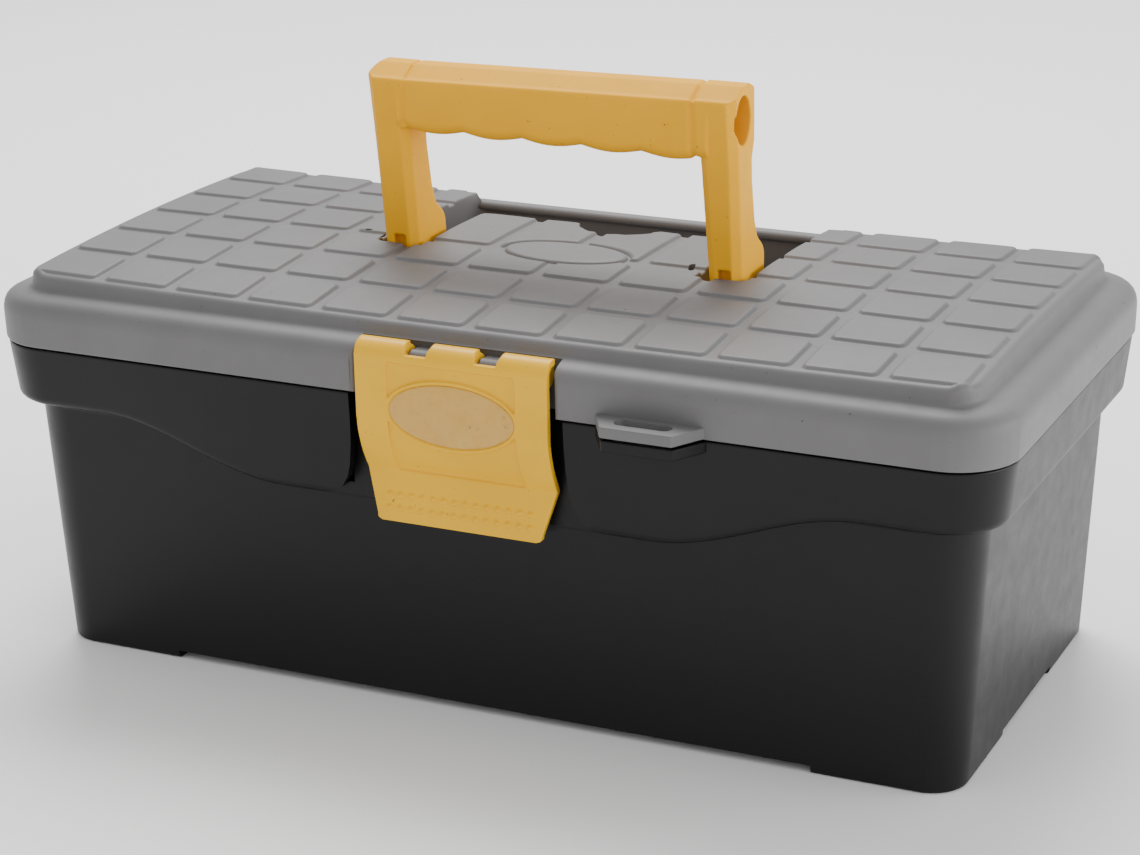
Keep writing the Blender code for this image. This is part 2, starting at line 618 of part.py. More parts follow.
# ---- handle ---------------------------------------------------------------------
def handle_leg(side):
    """One leg in Y-Z, with a round foot and a heel that stops it upright."""
    foot_r = 5.2
    outline = arc(PIVOT_Y, PIVOT_Z, foot_r, 180, 270, 5)
    outline += [(11.3, PIVOT_Z - foot_r), (14.6, PIVOT_Z - 2.0), (14.8, 138.6), (13.8, 141.0),
                (8.6, 145.6), (6.8, 151.0), (4.6, 165.0), (4.4, 172.0)]
    outline += arc(GRIP_BACK - 4.0, HANDLE_TOP - 16.0, 4.0, -30, 0, 2)
    outline += arc(GRIP_BACK - 4.0, HANDLE_TOP - 4.0, 4.0, 0, 90, 4)
    outline += arc(GRIP_FRONT + 4.0, HANDLE_TOP - 4.0, 4.0, 90, 180, 4)
    outline += [(-9.7, 173.0)]
    x0, x1 = sorted((side * LEG_INNER, side * LEG_OUTER))
    made = prism("leg", outline, x0, x1, 'X')
    for vertex in made.data.vertices:
        if abs(vertex.co.x) > (LEG_INNER + 2) * MM:
            vertex.co.x += side * LEG_FLARE * MM * (vertex.co.z / MM - PIVOT_Z) / (HANDLE_TOP - PIVOT_Z)
    return made


def grip_ring(x):
    """A rounded section of the grip; its underside bulges once for each finger."""
    span = 2 * LEG_INNER / FINGERS
    phase = ((x + LEG_INNER) / span) % 1.0
    bottom = GRIP_BOTTOM - GRIP_BULGE * math.sin(math.pi * phase)
    r = 4.2
    front, back, top = GRIP_FRONT + 0.2, GRIP_BACK - 0.2, HANDLE_TOP - 0.2
    section = arc(front + r, bottom + r, r, 180, 270, 3) + arc(back - r, bottom + r, r, 270, 360, 3)
    section += arc(back - r, top - r, r, 0, 90, 3) + arc(front + r, top - r, r, 90, 180, 3)
    return [(x, y, z) for y, z in section]


def carry_handle():
    """Two legs and a hollow grip that is open at its right end."""
    made = handle_leg(-1)
    add(made, handle_leg(1))
    stations = 40
    end = LEG_INNER + 1.5
    add(made, loft("grip", [grip_ring(-end + 2 * end * i / stations) for i in range(stations + 1)]))
    cut(made, rod("hollow", 6.0, -48.0, 80.0, -2.8, 185.8, 20, 1.25))
    for side in (-1, 1):
        x0, x1 = sorted((side * (LEG_INNER - 1), side * (LEG_OUTER + 3)))
        cut(made, rod("bore", HANDLE_PIN_BORE, x0, x1, PIVOT_Y, PIVOT_Z, 16))
        middle = side * (LEG_INNER + LEG_OUTER) / 2
        cut(made, block("notch", (middle - 2.3, middle + 2.3), (-10.0, -4.2), (131.6, 137.6)))
    return finish(made, "carry_handle", material("handle_yellow", YELLOW, 0.4))


# ---- tray -----------------------------------------------------------------------
def tray_span(side):
    """Y limits of the room in front of the middle rib (side -1) or behind it (side 1)."""
    if side < 0:
        return TRAY_WALL - TRAY_FRONT, TRAY_MIDDLE - TRAY_RIB / 2
    return TRAY_MIDDLE + TRAY_RIB / 2, TRAY_REAR - TRAY_WALL


def cut_slots(made, face, into, side):
    """Upright grooves for this side's dividers in a wall whose face is at this Y."""
    y = sorted((face - into, face + into * TRAY_GROOVE))
    for _, divider_side, x in DIVIDERS:
        if divider_side == side:
            cut(made, block("slot", (x - SLOT_WIDTH / 2, x + SLOT_WIDTH / 2), y,
                            (TRAY_FLOOR + TRAY_WALL, TRAY_TOP + 1)))


def tray_shell(tray_black):
    """The lift-out tray: one open box with end flanges and grooves for its loose walls."""
    inset = 1.6
    made = loft("tray", [
        [(x, y, TRAY_FLOOR) for x, y in rounded(TRAY_X - inset, TRAY_FRONT - inset,
                                                TRAY_REAR - inset, TRAY_R - inset)],
        [(x, y, TRAY_FLOOR + 2) for x, y in rounded(TRAY_X - 0.2, TRAY_FRONT - 0.2,
                                                    TRAY_REAR - 0.2, TRAY_R)],
        [(x, y, TRAY_TOP) for x, y in rounded(TRAY_X, TRAY_FRONT, TRAY_REAR, TRAY_R)]])
    flange = rounded(TRAY_FLANGE_X, 50.0, 55.0, 6.0)
    add(made, prism("flange", flange, TRAY_TOP - 2.0, TRAY_TOP, 'Z'))
    room = rounded(TRAY_X - TRAY_WALL, TRAY_FRONT - TRAY_WALL, TRAY_REAR - TRAY_WALL,
                   TRAY_R - TRAY_WALL)
    cut(made, prism("room", room, TRAY_FLOOR + TRAY_WALL, TRAY_TOP + 1, 'Z'))
    half = TRAY_RIB / 2 + GAP
    for side in (-1, 1):
        face = side * (TRAY_X - TRAY_WALL)
        span = sorted((face - side, face + side * TRAY_GROOVE))
        cut(made, block("end_groove", span, (TRAY_MIDDLE - half, TRAY_MIDDLE + half),
                        (TRAY_FLOOR + TRAY_WALL, TRAY_TOP + 1)))

    cut_slots(made, TRAY_WALL - TRAY_FRONT, -1, -1)
    cut_slots(made, TRAY_REAR - TRAY_WALL, 1, 1)
    return finish(made, "tray_shell", tray_black)


def tray_partition(tray_black):
    """The tray's middle wall, slid into its end grooves, with an arched lifting handle on it."""
    reach = TRAY_X - TRAY_WALL + TRAY_GROOVE - GAP
    low, high = TRAY_MIDDLE - TRAY_RIB / 2, TRAY_MIDDLE + TRAY_RIB / 2
    made = block("partition", (-reach, reach), (low, high),
                 (TRAY_FLOOR + TRAY_WALL + GAP, TRAY_TOP))
    arch = [(-ARCH_OUTER - 4, 84.0), (ARCH_OUTER + 4, 84.0), (ARCH_OUTER, TRAY_TOP + 6)]
    arch += arc(ARCH_OUTER - 8, ARCH_TOP - 8, 8, 0, 90, 4)
    arch += arc(-ARCH_OUTER + 8, ARCH_TOP - 8, 8, 90, 180, 4) + [(-ARCH_OUTER, TRAY_TOP + 6)]
    y0, y1 = TRAY_MIDDLE - ARCH_THICK / 2, TRAY_MIDDLE + ARCH_THICK / 2
    add(made, prism("arch", arch, y0, y1, 'Y'))
    gap = [(-ARCH_INNER, 80.0), (ARCH_INNER, 80.0)]
    gap += arc(ARCH_INNER - 2, 102.5, 2, 0, 90, 2) + arc(-ARCH_INNER + 2, 102.5, 2, 90, 180, 2)
    cut(made, prism("finger_gap", gap, y0 - 1, y1 + 1, 'Y'))

    cut_slots(made, low, 1, -1)
    cut_slots(made, high, -1, 1)
    return finish(made, "tray_partition", tray_black)


def divider(name, side, x, finish_material):
    """A loose cross wall with cut-off lower corners and a thumb dip in its top."""
    low, high = tray_span(side)
    low -= TRAY_GROOVE - GAP
    high += TRAY_GROOVE - GAP
    z0, z1 = TRAY_FLOOR + TRAY_WALL + GAP, DIVIDER_TOP
    middle = (low + high) / 2
    dip = [(middle + 9 * math.cos(a), z1 - 4 * math.sin(a))
           for a in [math.radians(30 * i) for i in range(7)]]
    outline = [(low, z0 + 1.5), (low + 1.5, z0), (high - 1.5, z0), (high, z0 + 1.5), (high, z1)]
    outline += dip + [(low, z1)]
    made = prism(name, outline, x - DIVIDER_THICK / 2, x + DIVIDER_THICK / 2, 'X')
    return finish(made, name, finish_material)


# ---- pins and badge -------------------------------------------------------------
def pin(name, radius, x0, x1, y, z, finish_material):
    return finish(rod(name, radius, x0, x1, y, z, 12), name, finish_material)


def build():
    steel = material("pin_steel", STEEL, 0.35, 1.0)
    divider_grey = material("divider_grey", DIVIDER_GREY, 0.5)
    tray_black = material("tray_black", TRAY_BLACK, 0.5)
    lid_grey = material("lid_grey", GREY, 0.5)
    made = {"bin": [bin_shell()],
            "lid": [lid_shell(lid_grey), padlock_eye(lid_grey)],
            "latch": [latch_plate()],
            "handle": [carry_handle()],
            "tray": [tray_shell(tray_black), tray_partition(tray_black)]}
    made["latch"].append(badge())
    for name, side, x in DIVIDERS:
        made["tray"].append(divider(name, side, x, divider_grey))
    for word, side in (("left", -1), ("right", 1)):
        middle = side * HINGE_X
        made["bin"].append(pin("hinge_pin_" + word, HINGE_PIN_R, middle - 17.2, middle + 17.2,
                               HINGE_Y, HINGE_Z, steel))
        x0, x1 = sorted((side * (ISLAND_X - 1.8), side * (RECESS_X + 1.8)))
        made["lid"].append(pin("handle_pin_" + word, HANDLE_PIN_R, x0, x1, PIVOT_Y, PIVOT_Z, steel))
    made["lid"].append(pin("latch_pin", LATCH_PIN_R, -19.7, 19.7, LATCH_Y, LATCH_Z, steel))
    return made


def axis_empty(name, place, parent):
    made = bpy.data.objects.new(name, None)
    bpy.context.scene.collection.objects.link(made)
    made.empty_display_size = 0.02
    made.parent = parent
    made.matrix_world = Matrix.Translation(Vector(place) * MM)
    return made


def assemble(made):
    """Hang each moving group on an empty that stands on its joint's axis."""
    root = axis_empty("box_frame", (0, 0, 0), None)
    lid = axis_empty("lid_axis", (0, HINGE_Y, HINGE_Z), root)
    bpy.context.view_layer.update()
    groups = {"bin": root, "lid": lid,
              "tray": axis_empty("tray_slide", (0, TRAY_MIDDLE, TRAY_FLOOR), root),
              "latch": axis_empty("latch_axis", (0, LATCH_Y, LATCH_Z), lid),
              "handle": axis_empty("handle_axis", (0, PIVOT_Y, PIVOT_Z), lid)}
    bpy.context.view_layer.update()
    for group, pieces in made.items():
        for piece in pieces:
            piece.parent = groups[group]
            piece.matrix_parent_inverse = groups[group].matrix_world.inverted()
    root.location.y = CENTRE_SHIFT * MM
    bpy.context.view_layer.update()


assemble(build())
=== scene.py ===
"""Looks for the toolbox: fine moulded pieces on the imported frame, in a pale studio.

Points are drawn in millimetres in the box's own frame (X right, Y to the rear, Z up from
the feet, zero under the middle of the lid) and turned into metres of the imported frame.
"""
import math

import bmesh
import bpy
import numpy as np
from mathutils import Matrix, Vector


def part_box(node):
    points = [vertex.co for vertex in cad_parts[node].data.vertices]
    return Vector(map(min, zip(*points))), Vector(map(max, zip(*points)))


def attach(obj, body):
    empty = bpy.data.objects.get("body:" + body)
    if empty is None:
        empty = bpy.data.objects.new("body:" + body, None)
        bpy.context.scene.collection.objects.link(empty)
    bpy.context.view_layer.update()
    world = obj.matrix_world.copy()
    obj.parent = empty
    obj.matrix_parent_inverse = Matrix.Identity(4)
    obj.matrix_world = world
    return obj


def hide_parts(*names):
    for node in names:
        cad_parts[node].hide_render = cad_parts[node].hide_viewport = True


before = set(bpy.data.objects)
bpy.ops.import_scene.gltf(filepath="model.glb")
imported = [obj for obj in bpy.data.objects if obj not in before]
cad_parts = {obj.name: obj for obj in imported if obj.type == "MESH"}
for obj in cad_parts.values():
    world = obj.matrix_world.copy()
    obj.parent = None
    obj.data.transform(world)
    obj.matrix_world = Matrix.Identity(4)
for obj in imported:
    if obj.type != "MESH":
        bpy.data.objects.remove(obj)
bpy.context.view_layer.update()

MM = 0.001

# ---- sizes in millimetres, most of them the part's own ------------------------------
HINGE_Y, HINGE_Z, HINGE_X, HINGE_R, HINGE_BORE, HINGE_PIN_R = 87.0, 106.0, 110.0, 4.2, 1.8, 1.5
HINGE_LID_HALF, HINGE_BIN_ARM, HINGE_PIN_HALF = 7.8, (8.3, 17.5), 17.2
low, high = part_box("hinge_pin_left")
SHIFT = (low.y + high.y) / 2 / MM - HINGE_Y      # from the box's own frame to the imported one

LID_X, LID_Y, LID_R, LID_BOTTOM, LID_WALL = 175.0, 83.0, 21.0, 109.0, 2.2
PLATE_X, PLATE_Y, PLATE_R, PLATE_EDGE = 163.4, 74.0, 10.0, 2.2
CROWN, CROWN_FALL, TILE_RISE, TILE_R = 135.15, (0.73, 4.47, 2.13), 1.1, 2.5
TILE_PITCH, TILE_HALF, TILE_COUNT = (26.9, 24.5), (11.7, 10.2), (12, 6)

BIN_X, BIN_FRONT, BIN_REAR, BIN_R = 160.5, 71.0, 75.5, 12.4
BIN_WALL, FOOT_HEIGHT, FOOT_LENGTH, DRAFT, REAR_DRAFT = 2.2, 2.8, 47.0, 4.8, 3.4
BAND_X, BAND_FRONT, BAND_REAR, BAND_R = 171.9, 80.4, 80.4, 18.0
BAND_DRAFT, BAND_TOP, BAND_LOW, BAND_HIGH = 1.9, 108.5, 71.8, 87.6
WAVE_START, WAVE_END, RIM_INSET, RIM_TOP, LEDGE = 62.0, 128.0, 0.3, 111.5, 3.9
POCKET_BACK, POCKET_HALF, FIELD_HALF, FIELD_DEEP, CATCH_HALF = -75.2, 37.0, 25.0, 1.8, 22.0

LATCH_Y, LATCH_Z, LATCH_X, LATCH_ROLL, LATCH_THICK = -79.5, 121.8, 33.0, 5.2, 2.2
LATCH_STRAIGHT_END, LATCH_CREASE, LATCH_TIP, LATCH_TIP_X = 104.0, (-78.4, 83.5), (-81.6, 67.2), 28.4
LATCH_KNUCKLE_X, LATCH_KNUCKLE_R, LATCH_KNUCKLE_HALF, LATCH_GAP_HALF = 12.0, 2.6, 3.3, 3.8
LATCH_PIN_R, LATCH_PIN_X, LATCH_BORE, LATCH_BORE_X = 1.3, 19.7, 1.6, 20.0
LATCH_ZONE, LATCH_FIELD_TOP, LATCH_FIELD_X, LATCH_FIELD_DEEP = 34.3, 121.0, 22.0, 0.9
LATCH_POCKET_BACK = LATCH_Y + LATCH_ROLL + 0.4
BADGE_X, BADGE_HEIGHT, BADGE_Z, BADGE_RIM = 21.5, 10.0, 105.6, 1.4

HASP_X, HASP_REACH, HASP_THICK, HASP_ROOT, HASP_TIP = 65.9, 93.6, 3.6, 17.8, 12.2
HASP_SLOT_X, HASP_SLOT_Y, HASP_SLOT_MIDDLE = 18.7, 5.0, -87.6

RECESS_X, RECESS_FRONT, RECESS_REAR, RECESS_FLOOR, RECESS_WALL = 66.5, -7.4, 70.8, 109.8, 2.0
ISLAND_X, ISLAND_REAR, ISLAND_R, RECESS_R = 49.5, 39.4, 2.2, 3.2
SCOOP_X, SCOOP_Y, SCOOP_HALF, SCOOP_DEEP, SCOOP_FLOOR = 1.5, ISLAND_REAR + 1.0, 14.0, 11.0, 122.0
BAR_R, BAR_FLAT, BAR_Y, BAR_Z = 2.8, 0.7, RECESS_REAR + 0.8, 127.2    # the bar behind the well
EMBLEM_PLACE, EMBLEM_SIZE = (-0.7, 2.6), (21.5, 11.0)

PIVOT_Y, PIVOT_Z, HANDLE_PIN_R, HANDLE_PIN_BORE = -1.5, 127.5, 2.0, 2.35
HANDLE_TOP, LEG_INNER, LEG_OUTER, LEG_BEVEL = 195.5, 52.5, 64.0, 2.6
LEG_SIDES = {-1: (50.9, 52.5, 63.4, 66.1),       # inner face at the foot and the top, then the outer
             1: (53.4, 50.4, 64.5, 64.2)}
LEG_FRONT = ((118.0, -6.1), (173.0, -9.7), (196.0, -11.6))   # height, the front face's Y
GRIP_FRONT, GRIP_BACK, GRIP_BOTTOM, GRIP_BULGE, FINGERS = -11.4, 6.8, 175.0, 1.5, 5
GRIP_LIFT, GRIP_DROP = 1.5, 0.8                    # how much taller the grip is at its right end
GROOVE_PLACES, GROOVE_DEPTH, GROOVE_HALF = (-52.6, 50.0), 0.9, 1.5
HOLLOW_R, HOLLOW_OVAL, HOLLOW_Y, HOLLOW_Z, HOLLOW_END = 6.0, 1.32, -2.8, 185.9, -48.0
ROD_SIDES = 40


# ---- mesh helpers ------------------------------------------------------------------
def mesh_object(name, points, faces):
    """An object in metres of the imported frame, from points in millimetres."""
    mesh = bpy.data.meshes.new(name)
    placed = (np.asarray(points, float) + (0.0, SHIFT, 0.0)) * MM
    mesh.from_pydata(placed.tolist(), [], faces)
    mesh.update()
    made = bpy.data.objects.new(name, mesh)
    bpy.context.scene.collection.objects.link(made)
    return made


def joined(name, layers):
    """A closed body through rings of the same number of points, with a cap at each end."""
    count = len(layers[0])
    faces = [tuple(range(count))]
    for level in range(len(layers) - 1):
        a, b = level * count, (level + 1) * count
        for i in range(count):
            j = (i + 1) % count
            faces.append((a + i, b + i, b + j, a + j))
    faces.append(tuple(reversed(range((len(layers) - 1) * count, len(layers) * count))))
    made = mesh_object(name, np.concatenate(layers), faces)
    outward(made)
    return made


def outward(made):
    """Turn every face of a closed body to the outside."""
    bm = bmesh.new()
    bm.from_mesh(made.data)
    bmesh.ops.recalc_face_normals(bm, faces=bm.faces)
    bm.to_mesh(made.data)
    bm.free()


def baked(made):
    """Apply the object's modifiers."""
    bpy.context.view_layer.update()
    evaluated = made.evaluated_get(bpy.context.evaluated_depsgraph_get())
    mesh = bpy.data.meshes.new_from_object(evaluated)
    made.modifiers.clear()
    made.data = mesh


def combine(target, tool, how):
    """Join, cut or trim a closed body with another, and drop the tool."""
    modifier = target.modifiers.new(how, 'BOOLEAN')
    modifier.operation, modifier.solver, modifier.object = how, 'MANIFOLD', tool
    baked(target)
    bpy.data.objects.remove(tool, do_unlink=True)


def add(target, *tools):
    """Join closed bodies to the target, one by one."""
    for tool in tools:
        combine(target, tool, 'UNION')


def cut(target, *tools):
    """Take closed bodies out of the target, one by one."""
    for tool in tools:
        combine(target, tool, 'DIFFERENCE')


def arc(cx, cy, radius, start, end, steps):
    """Points of an arc, angles in degrees."""
    angles = [math.radians(start + (end - start) * i / steps) for i in range(steps + 1)]
    return [(cx + radius * math.cos(a), cy + radius * math.sin(a)) for a in angles]


def ellipse(cx, cy, half_x, half_y, count=72):
    """Points of an ellipse, anticlockwise."""
    angles = [math.tau * i / count for i in range(count)]
    return [(cx + half_x * math.cos(a), cy + half_y * math.sin(a)) for a in angles]


def moved_in(outline, distance):
    """An anticlockwise outline with each side moved inwards."""
    moved = []
    count = len(outline)
    for i in range(count):
        here = Vector(outline[i])
        along = [(here - Vector(outline[i - 1])).normalized(),
                 (Vector(outline[(i + 1) % count]) - here).normalized()]
        normals = [Vector((-a.y, a.x)) for a in along]
        corner = normals[0] + normals[1]
        moved.append(tuple(here + corner * distance / max(corner.dot(normals[0]), 0.35)))
    return moved


def turned(outline, level, axis):
    """Outline points set on a plane across one axis."""
    u, v = np.array(outline, float).T
    w = np.full(len(u), level, float)
    return np.stack({'X': (w, u, v), 'Y': (u, w, v), 'Z': (u, v, w)}[axis], axis=1)


def prism(name, outline, low, high, axis, edge=0.0):
    """An outline extruded along one axis; edge rounds its rims."""
    if not edge:
        return joined(name, [turned(outline, low, axis), turned(outline, high, axis)])
    turns = [math.radians(a) for a in (0, 30, 60, 90)]
    rims = [(edge * (1 - math.sin(a)), edge * (1 - math.cos(a))) for a in turns]
    layers = [turned(moved_in(outline, inset), low + rise, axis) for inset, rise in rims]
    layers += [turned(moved_in(outline, inset), high - rise, axis) for inset, rise in reversed(rims)]
    return joined(name, layers)


def block(name, x, y, z):
    """A box between the given limits on each axis."""
    corners = [(x[0], y[0]), (x[1], y[0]), (x[1], y[1]), (x[0], y[1])]
    return prism(name, corners, z[0], z[1], 'Z')


def rod(name, radius, x0, x1, y, z, edge=0.0, oval=1.0):
    """A bar along X, round unless oval stretches or flattens its height."""
    return prism(name, ellipse(y, z, radius, radius * oval, ROD_SIDES), x0, x1, 'X', edge)


def loop_frame(front, side, rear, corner):
    """Where each point of a rounded rectangle stands: on which side, and how far along it."""
    rows = []

    def quarter(start, sx, wf, wr):
        for i in range(corner + 1):
            a = math.radians(start + 90 * i / corner)
            rows.append((sx, math.cos(a), wf, wr, math.sin(a)))

    def shares(count):
        return [i / count for i in range(1, count)]

    quarter(180, -1, 1, 0)
    rows.extend((2 * f - 1, 0, 1, 0, -1) for f in shares(front))
    quarter(270, 1, 1, 0)
    rows.extend((1, 1, 1 - f, f, 0) for f in shares(side))
    quarter(0, 1, 0, 1)
    rows.extend((1 - 2 * f, 0, 0, 1, 1) for f in shares(rear))
    quarter(90, -1, 0, 1)
    rows.extend((-1, -1, f, 1 - f, 0) for f in shares(side))
    return np.array(rows, float).T


def loop(places, half_x, front, rear, radius):
    """The rounded rectangle's points for given sizes; a size can differ from point to point."""
    sx, cx, wf, wr, cy = places
    x = sx * (half_x - radius) + radius * cx
    y = wr * (rear - radius) - wf * (front - radius) + radius * cy
    return x, y


def ring(xy, z):
    """Points in space from x and y and their height."""
    x, y = xy
    return np.stack([x, y, z + np.zeros_like(x)], axis=1)


def smooth(t):
    """Zero to one with no kink at either end."""
    t = np.clip(t, 0.0, 1.0)
    return t * t * (3 - 2 * t)


def remeshed(made, size, passes, keep):
    """Round every edge a little: remesh in small cubes, smooth, and thin the mesh out."""
    remesh = made.modifiers.new("remesh", 'REMESH')
    remesh.mode = 'VOXEL'
    remesh.voxel_size = size * MM
    relax = made.modifiers.new("smooth", 'SMOOTH')
    relax.iterations = passes
    relax.factor = 0.5
    if keep < 1.0:
        thin = made.modifiers.new("thin", 'DECIMATE')
        thin.ratio = keep
    baked(made)


def finish(made, body, replaced, material, angle=35.0):
    """Shade a piece, give it its material, and hang it on its body in place of the CAD nodes."""
    made.data.materials.clear()
    made.data.materials.append(material)
    made.data.shade_smooth()
    made.data.set_sharp_from_angle(angle=math.radians(angle))
    even = made.modifiers.new("even", 'WEIGHTED_NORMAL')
    even.keep_sharp = True
    baked(made)
    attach(made, body)
    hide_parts(*replaced)
    return made


# ---- materials ---------------------------------------------------------------------
class Shading:
    """A material's node tree, with short ways to add the nodes that moulded plastic needs."""

    def __init__(self, name):
        self.material = bpy.data.materials.new(name)
        self.material.use_nodes = True
        self.tree = self.material.node_tree
        self.shader = self.tree.nodes["Principled BSDF"]
        self.place = self.tree.nodes.new("ShaderNodeTexCoord").outputs["Object"]

    def link(self, a, b):
        """Wire one socket to another."""
        self.tree.links.new(a, b)

    def noise(self, size_mm, detail=4.0, rough=0.55, stretch=None):
        """Noise with features about size_mm across; stretch scales it on each axis."""
        node = self.tree.nodes.new("ShaderNodeTexNoise")
        node.inputs["Scale"].default_value = 1 / (size_mm * MM)
        node.inputs["Detail"].default_value = detail
        node.inputs["Roughness"].default_value = rough
        place = self.place
        if stretch:
            mapping = self.tree.nodes.new("ShaderNodeMapping")
            mapping.inputs["Scale"].default_value = stretch
            self.link(place, mapping.inputs["Vector"])
            place = mapping.outputs["Vector"]
        self.link(place, node.inputs["Vector"])
        return node.outputs["Fac"]

    def ramp(self, value, low, high, start=0.0, end=1.0):
        """The value, remapped from low..high to start..end and kept within them."""
        node = self.tree.nodes.new("ShaderNodeMapRange")
        node.inputs["From Min"].default_value = low
        node.inputs["From Max"].default_value = high
        node.inputs["To Min"].default_value = start
        node.inputs["To Max"].default_value = end
        self.link(value, node.inputs["Value"])
        return node.outputs["Result"]

    def math(self, how, a, b):
        """Two values, or sockets, put through one operation."""
        node = self.tree.nodes.new("ShaderNodeMath")
        node.operation = how
        for socket, value in zip(node.inputs, (a, b)):
            if isinstance(value, float):
                socket.default_value = value
            else:
                self.link(value, socket)
        return node.outputs["Value"]

    def mix(self, share, a, b):
        """A colour between a and b, which are colours or sockets."""
        node = self.tree.nodes.new("ShaderNodeMix")
        node.data_type = 'RGBA'
        self.link(share, node.inputs["Factor"])
        for socket, value in zip((node.inputs["A"], node.inputs["B"]), (a, b)):
            if isinstance(value, tuple):
                socket.default_value = (*value, 1.0)
            else:
                self.link(value, socket)
        return node.outputs["Result"]

    def bump(self, height, depth_mm, below=None):
        """A normal that follows a height, over another normal if there is one below."""
        node = self.tree.nodes.new("ShaderNodeBump")
        node.inputs["Distance"].default_value = depth_mm * MM
        self.link(height, node.inputs["Height"])
        if below:
            self.link(below, node.inputs["Normal"])
        return node.outputs["Normal"]


def plastic(name, colour, dark, pale, roughness, shine=0.5, ripple_mm=0.08, wear=0.5):
    """Moulded plastic: mottled colour, fine grain, slow ripples, scuffs and specks."""
    look = Shading(name)
    mottle = look.ramp(look.noise(28.0, 5.0, 0.6), 0.35, 0.65)
    base = look.mix(mottle, colour, dark)
    scratch = look.ramp(look.noise(3.0, 6.0, 0.7, (1.0, 0.12, 0.35)), 0.66, 0.74, 0.0, wear)
    base = look.mix(scratch, base, pale)
    dirt = look.ramp(look.noise(1.6, 2.0, 0.4), 0.74, 0.8, 0.0, 0.8)
    base = look.mix(dirt, base, tuple(0.25 * c for c in dark))
    look.link(base, look.shader.inputs["Base Color"])
    rough = look.ramp(look.noise(9.0, 6.0, 0.65), 0.3, 0.7, roughness - 0.04, roughness + 0.04)
    look.link(look.math('ADD', rough, look.math('MULTIPLY', scratch, 0.25)),
              look.shader.inputs["Roughness"])
    ripple = look.bump(look.noise(16.0, 1.0, 0.4), ripple_mm)
    grain = look.bump(look.noise(0.5, 3.0, 0.6), 0.02, ripple)
    look.link(grain, look.shader.inputs["Normal"])
    look.shader.inputs["IOR"].default_value = 1.49
    look.shader.inputs["Specular IOR Level"].default_value = shine
    return look.material


def steel(name):
    """Drawn steel wire: fine rings, dull and bright patches."""
    look = Shading(name)
    tarnish = look.ramp(look.noise(4.0, 4.0, 0.6), 0.35, 0.7)
    look.link(look.mix(tarnish, (0.55, 0.55, 0.56), (0.30, 0.28, 0.26)), look.shader.inputs["Base Color"])
    look.shader.inputs["Metallic"].default_value = 1.0
    look.link(look.ramp(tarnish, 0.0, 1.0, 0.28, 0.5), look.shader.inputs["Roughness"])
    look.link(look.bump(look.noise(0.5, 2.0, 0.5, (0.1, 1.0, 1.0)), 0.02), look.shader.inputs["Normal"])
    return look.material


def amber(name):
    """The badge's hazy inlay: cloudy amber under a clear skin."""
    look = Shading(name)
    cloud = look.ramp(look.noise(6.0, 4.0, 0.6), 0.35, 0.65)
    base = look.mix(cloud, (0.60, 0.325, 0.035), (0.64, 0.37, 0.06))
    speck = look.ramp(look.noise(1.2, 2.0, 0.4), 0.72, 0.76, 0.0, 0.7)
    base = look.mix(speck, base, (0.16, 0.09, 0.04))
    look.link(base, look.shader.inputs["Base Color"])
    look.link(look.ramp(look.noise(3.0, 5.0, 0.6), 0.3, 0.7, 0.22, 0.4), look.shader.inputs["Roughness"])
    look.link(look.bump(look.noise(2.5, 2.0, 0.5), 0.03), look.shader.inputs["Normal"])
    look.shader.inputs["Coat Weight"].default_value = 0.25
    look.shader.inputs["Coat Roughness"].default_value = 0.2
    return look.material


# ---- lid ---------------------------------------------------------------------------
def crown(x, y):
    """Height over the tiles: the lid's top is gently domed, most from front to rear."""
    u = (x / (6 * TILE_PITCH[0])) ** 2
    v = (y / (3 * TILE_PITCH[0])) ** 2
    along, across, both = CROWN_FALL
    return CROWN - along * u - across * v + both * u * v


def from_box(x, y, x0, x1, y0, y1, radius):
    """Distance outside a rounded rectangle, negative within it."""
    dx = np.abs(x - (x0 + x1) / 2) - (x1 - x0) / 2 + radius
    dy = np.abs(y - (y0 + y1) / 2) - (y1 - y0) / 2 + radius
    return np.hypot(np.maximum(dx, 0), np.maximum(dy, 0)) + np.minimum(np.maximum(dx, dy), 0) - radius


def from_oval(x, y, cx, cy, half_x, half_y):
    """About the distance outside an ellipse, negative within it."""
    u, v = (x - cx) / half_x, (y - cy) / half_y
    q = np.hypot(u, v)
    slope = np.maximum(np.hypot(u / half_x, v / half_y) / np.maximum(q, 0.05), 0.5 / half_x)
    return (q - 1) / slope


def from_well(x, y):
    """Distance outside the U-shaped well and its finger scoop."""
    outer = from_box(x, y, -RECESS_X, RECESS_X, RECESS_FRONT, RECESS_REAR, RECESS_R)
    island = from_box(x, y, -ISLAND_X, ISLAND_X, -200.0, ISLAND_REAR, ISLAND_R)
    scoop = from_oval(x, y, SCOOP_X, SCOOP_Y, SCOOP_HALF, SCOOP_DEEP)
    return np.minimum(np.maximum(outer, -island), scoop)


def tile_share(x, y):
    """One on top of a tile, zero between tiles, with soft flanks; the island's last rows are one."""
    last = TILE_PITCH[1] / 2
    y = np.where((np.abs(x) < ISLAND_X + 3.0) & (y > last) & (y < ISLAND_REAR + 5.0), last, y)
    slopes = []
    for value, pitch, half, count in zip((x, y), TILE_PITCH, TILE_HALF, TILE_COUNT):
        step = np.clip(np.round(value / pitch + (count - 1) / 2), 0, count - 1)
        slopes.append(np.abs(value - (step - (count - 1) / 2) * pitch) - half + TILE_R)
    dx, dy = slopes
    away = np.hypot(np.maximum(dx, 0), np.maximum(dy, 0)) + np.minimum(np.maximum(dx, dy), 0) - TILE_R
    tile = 1 - smooth((away + 0.9) / 1.4)
    pillow = 0.10 * smooth(-away / 9.0)
    return tile * (1 + pillow)


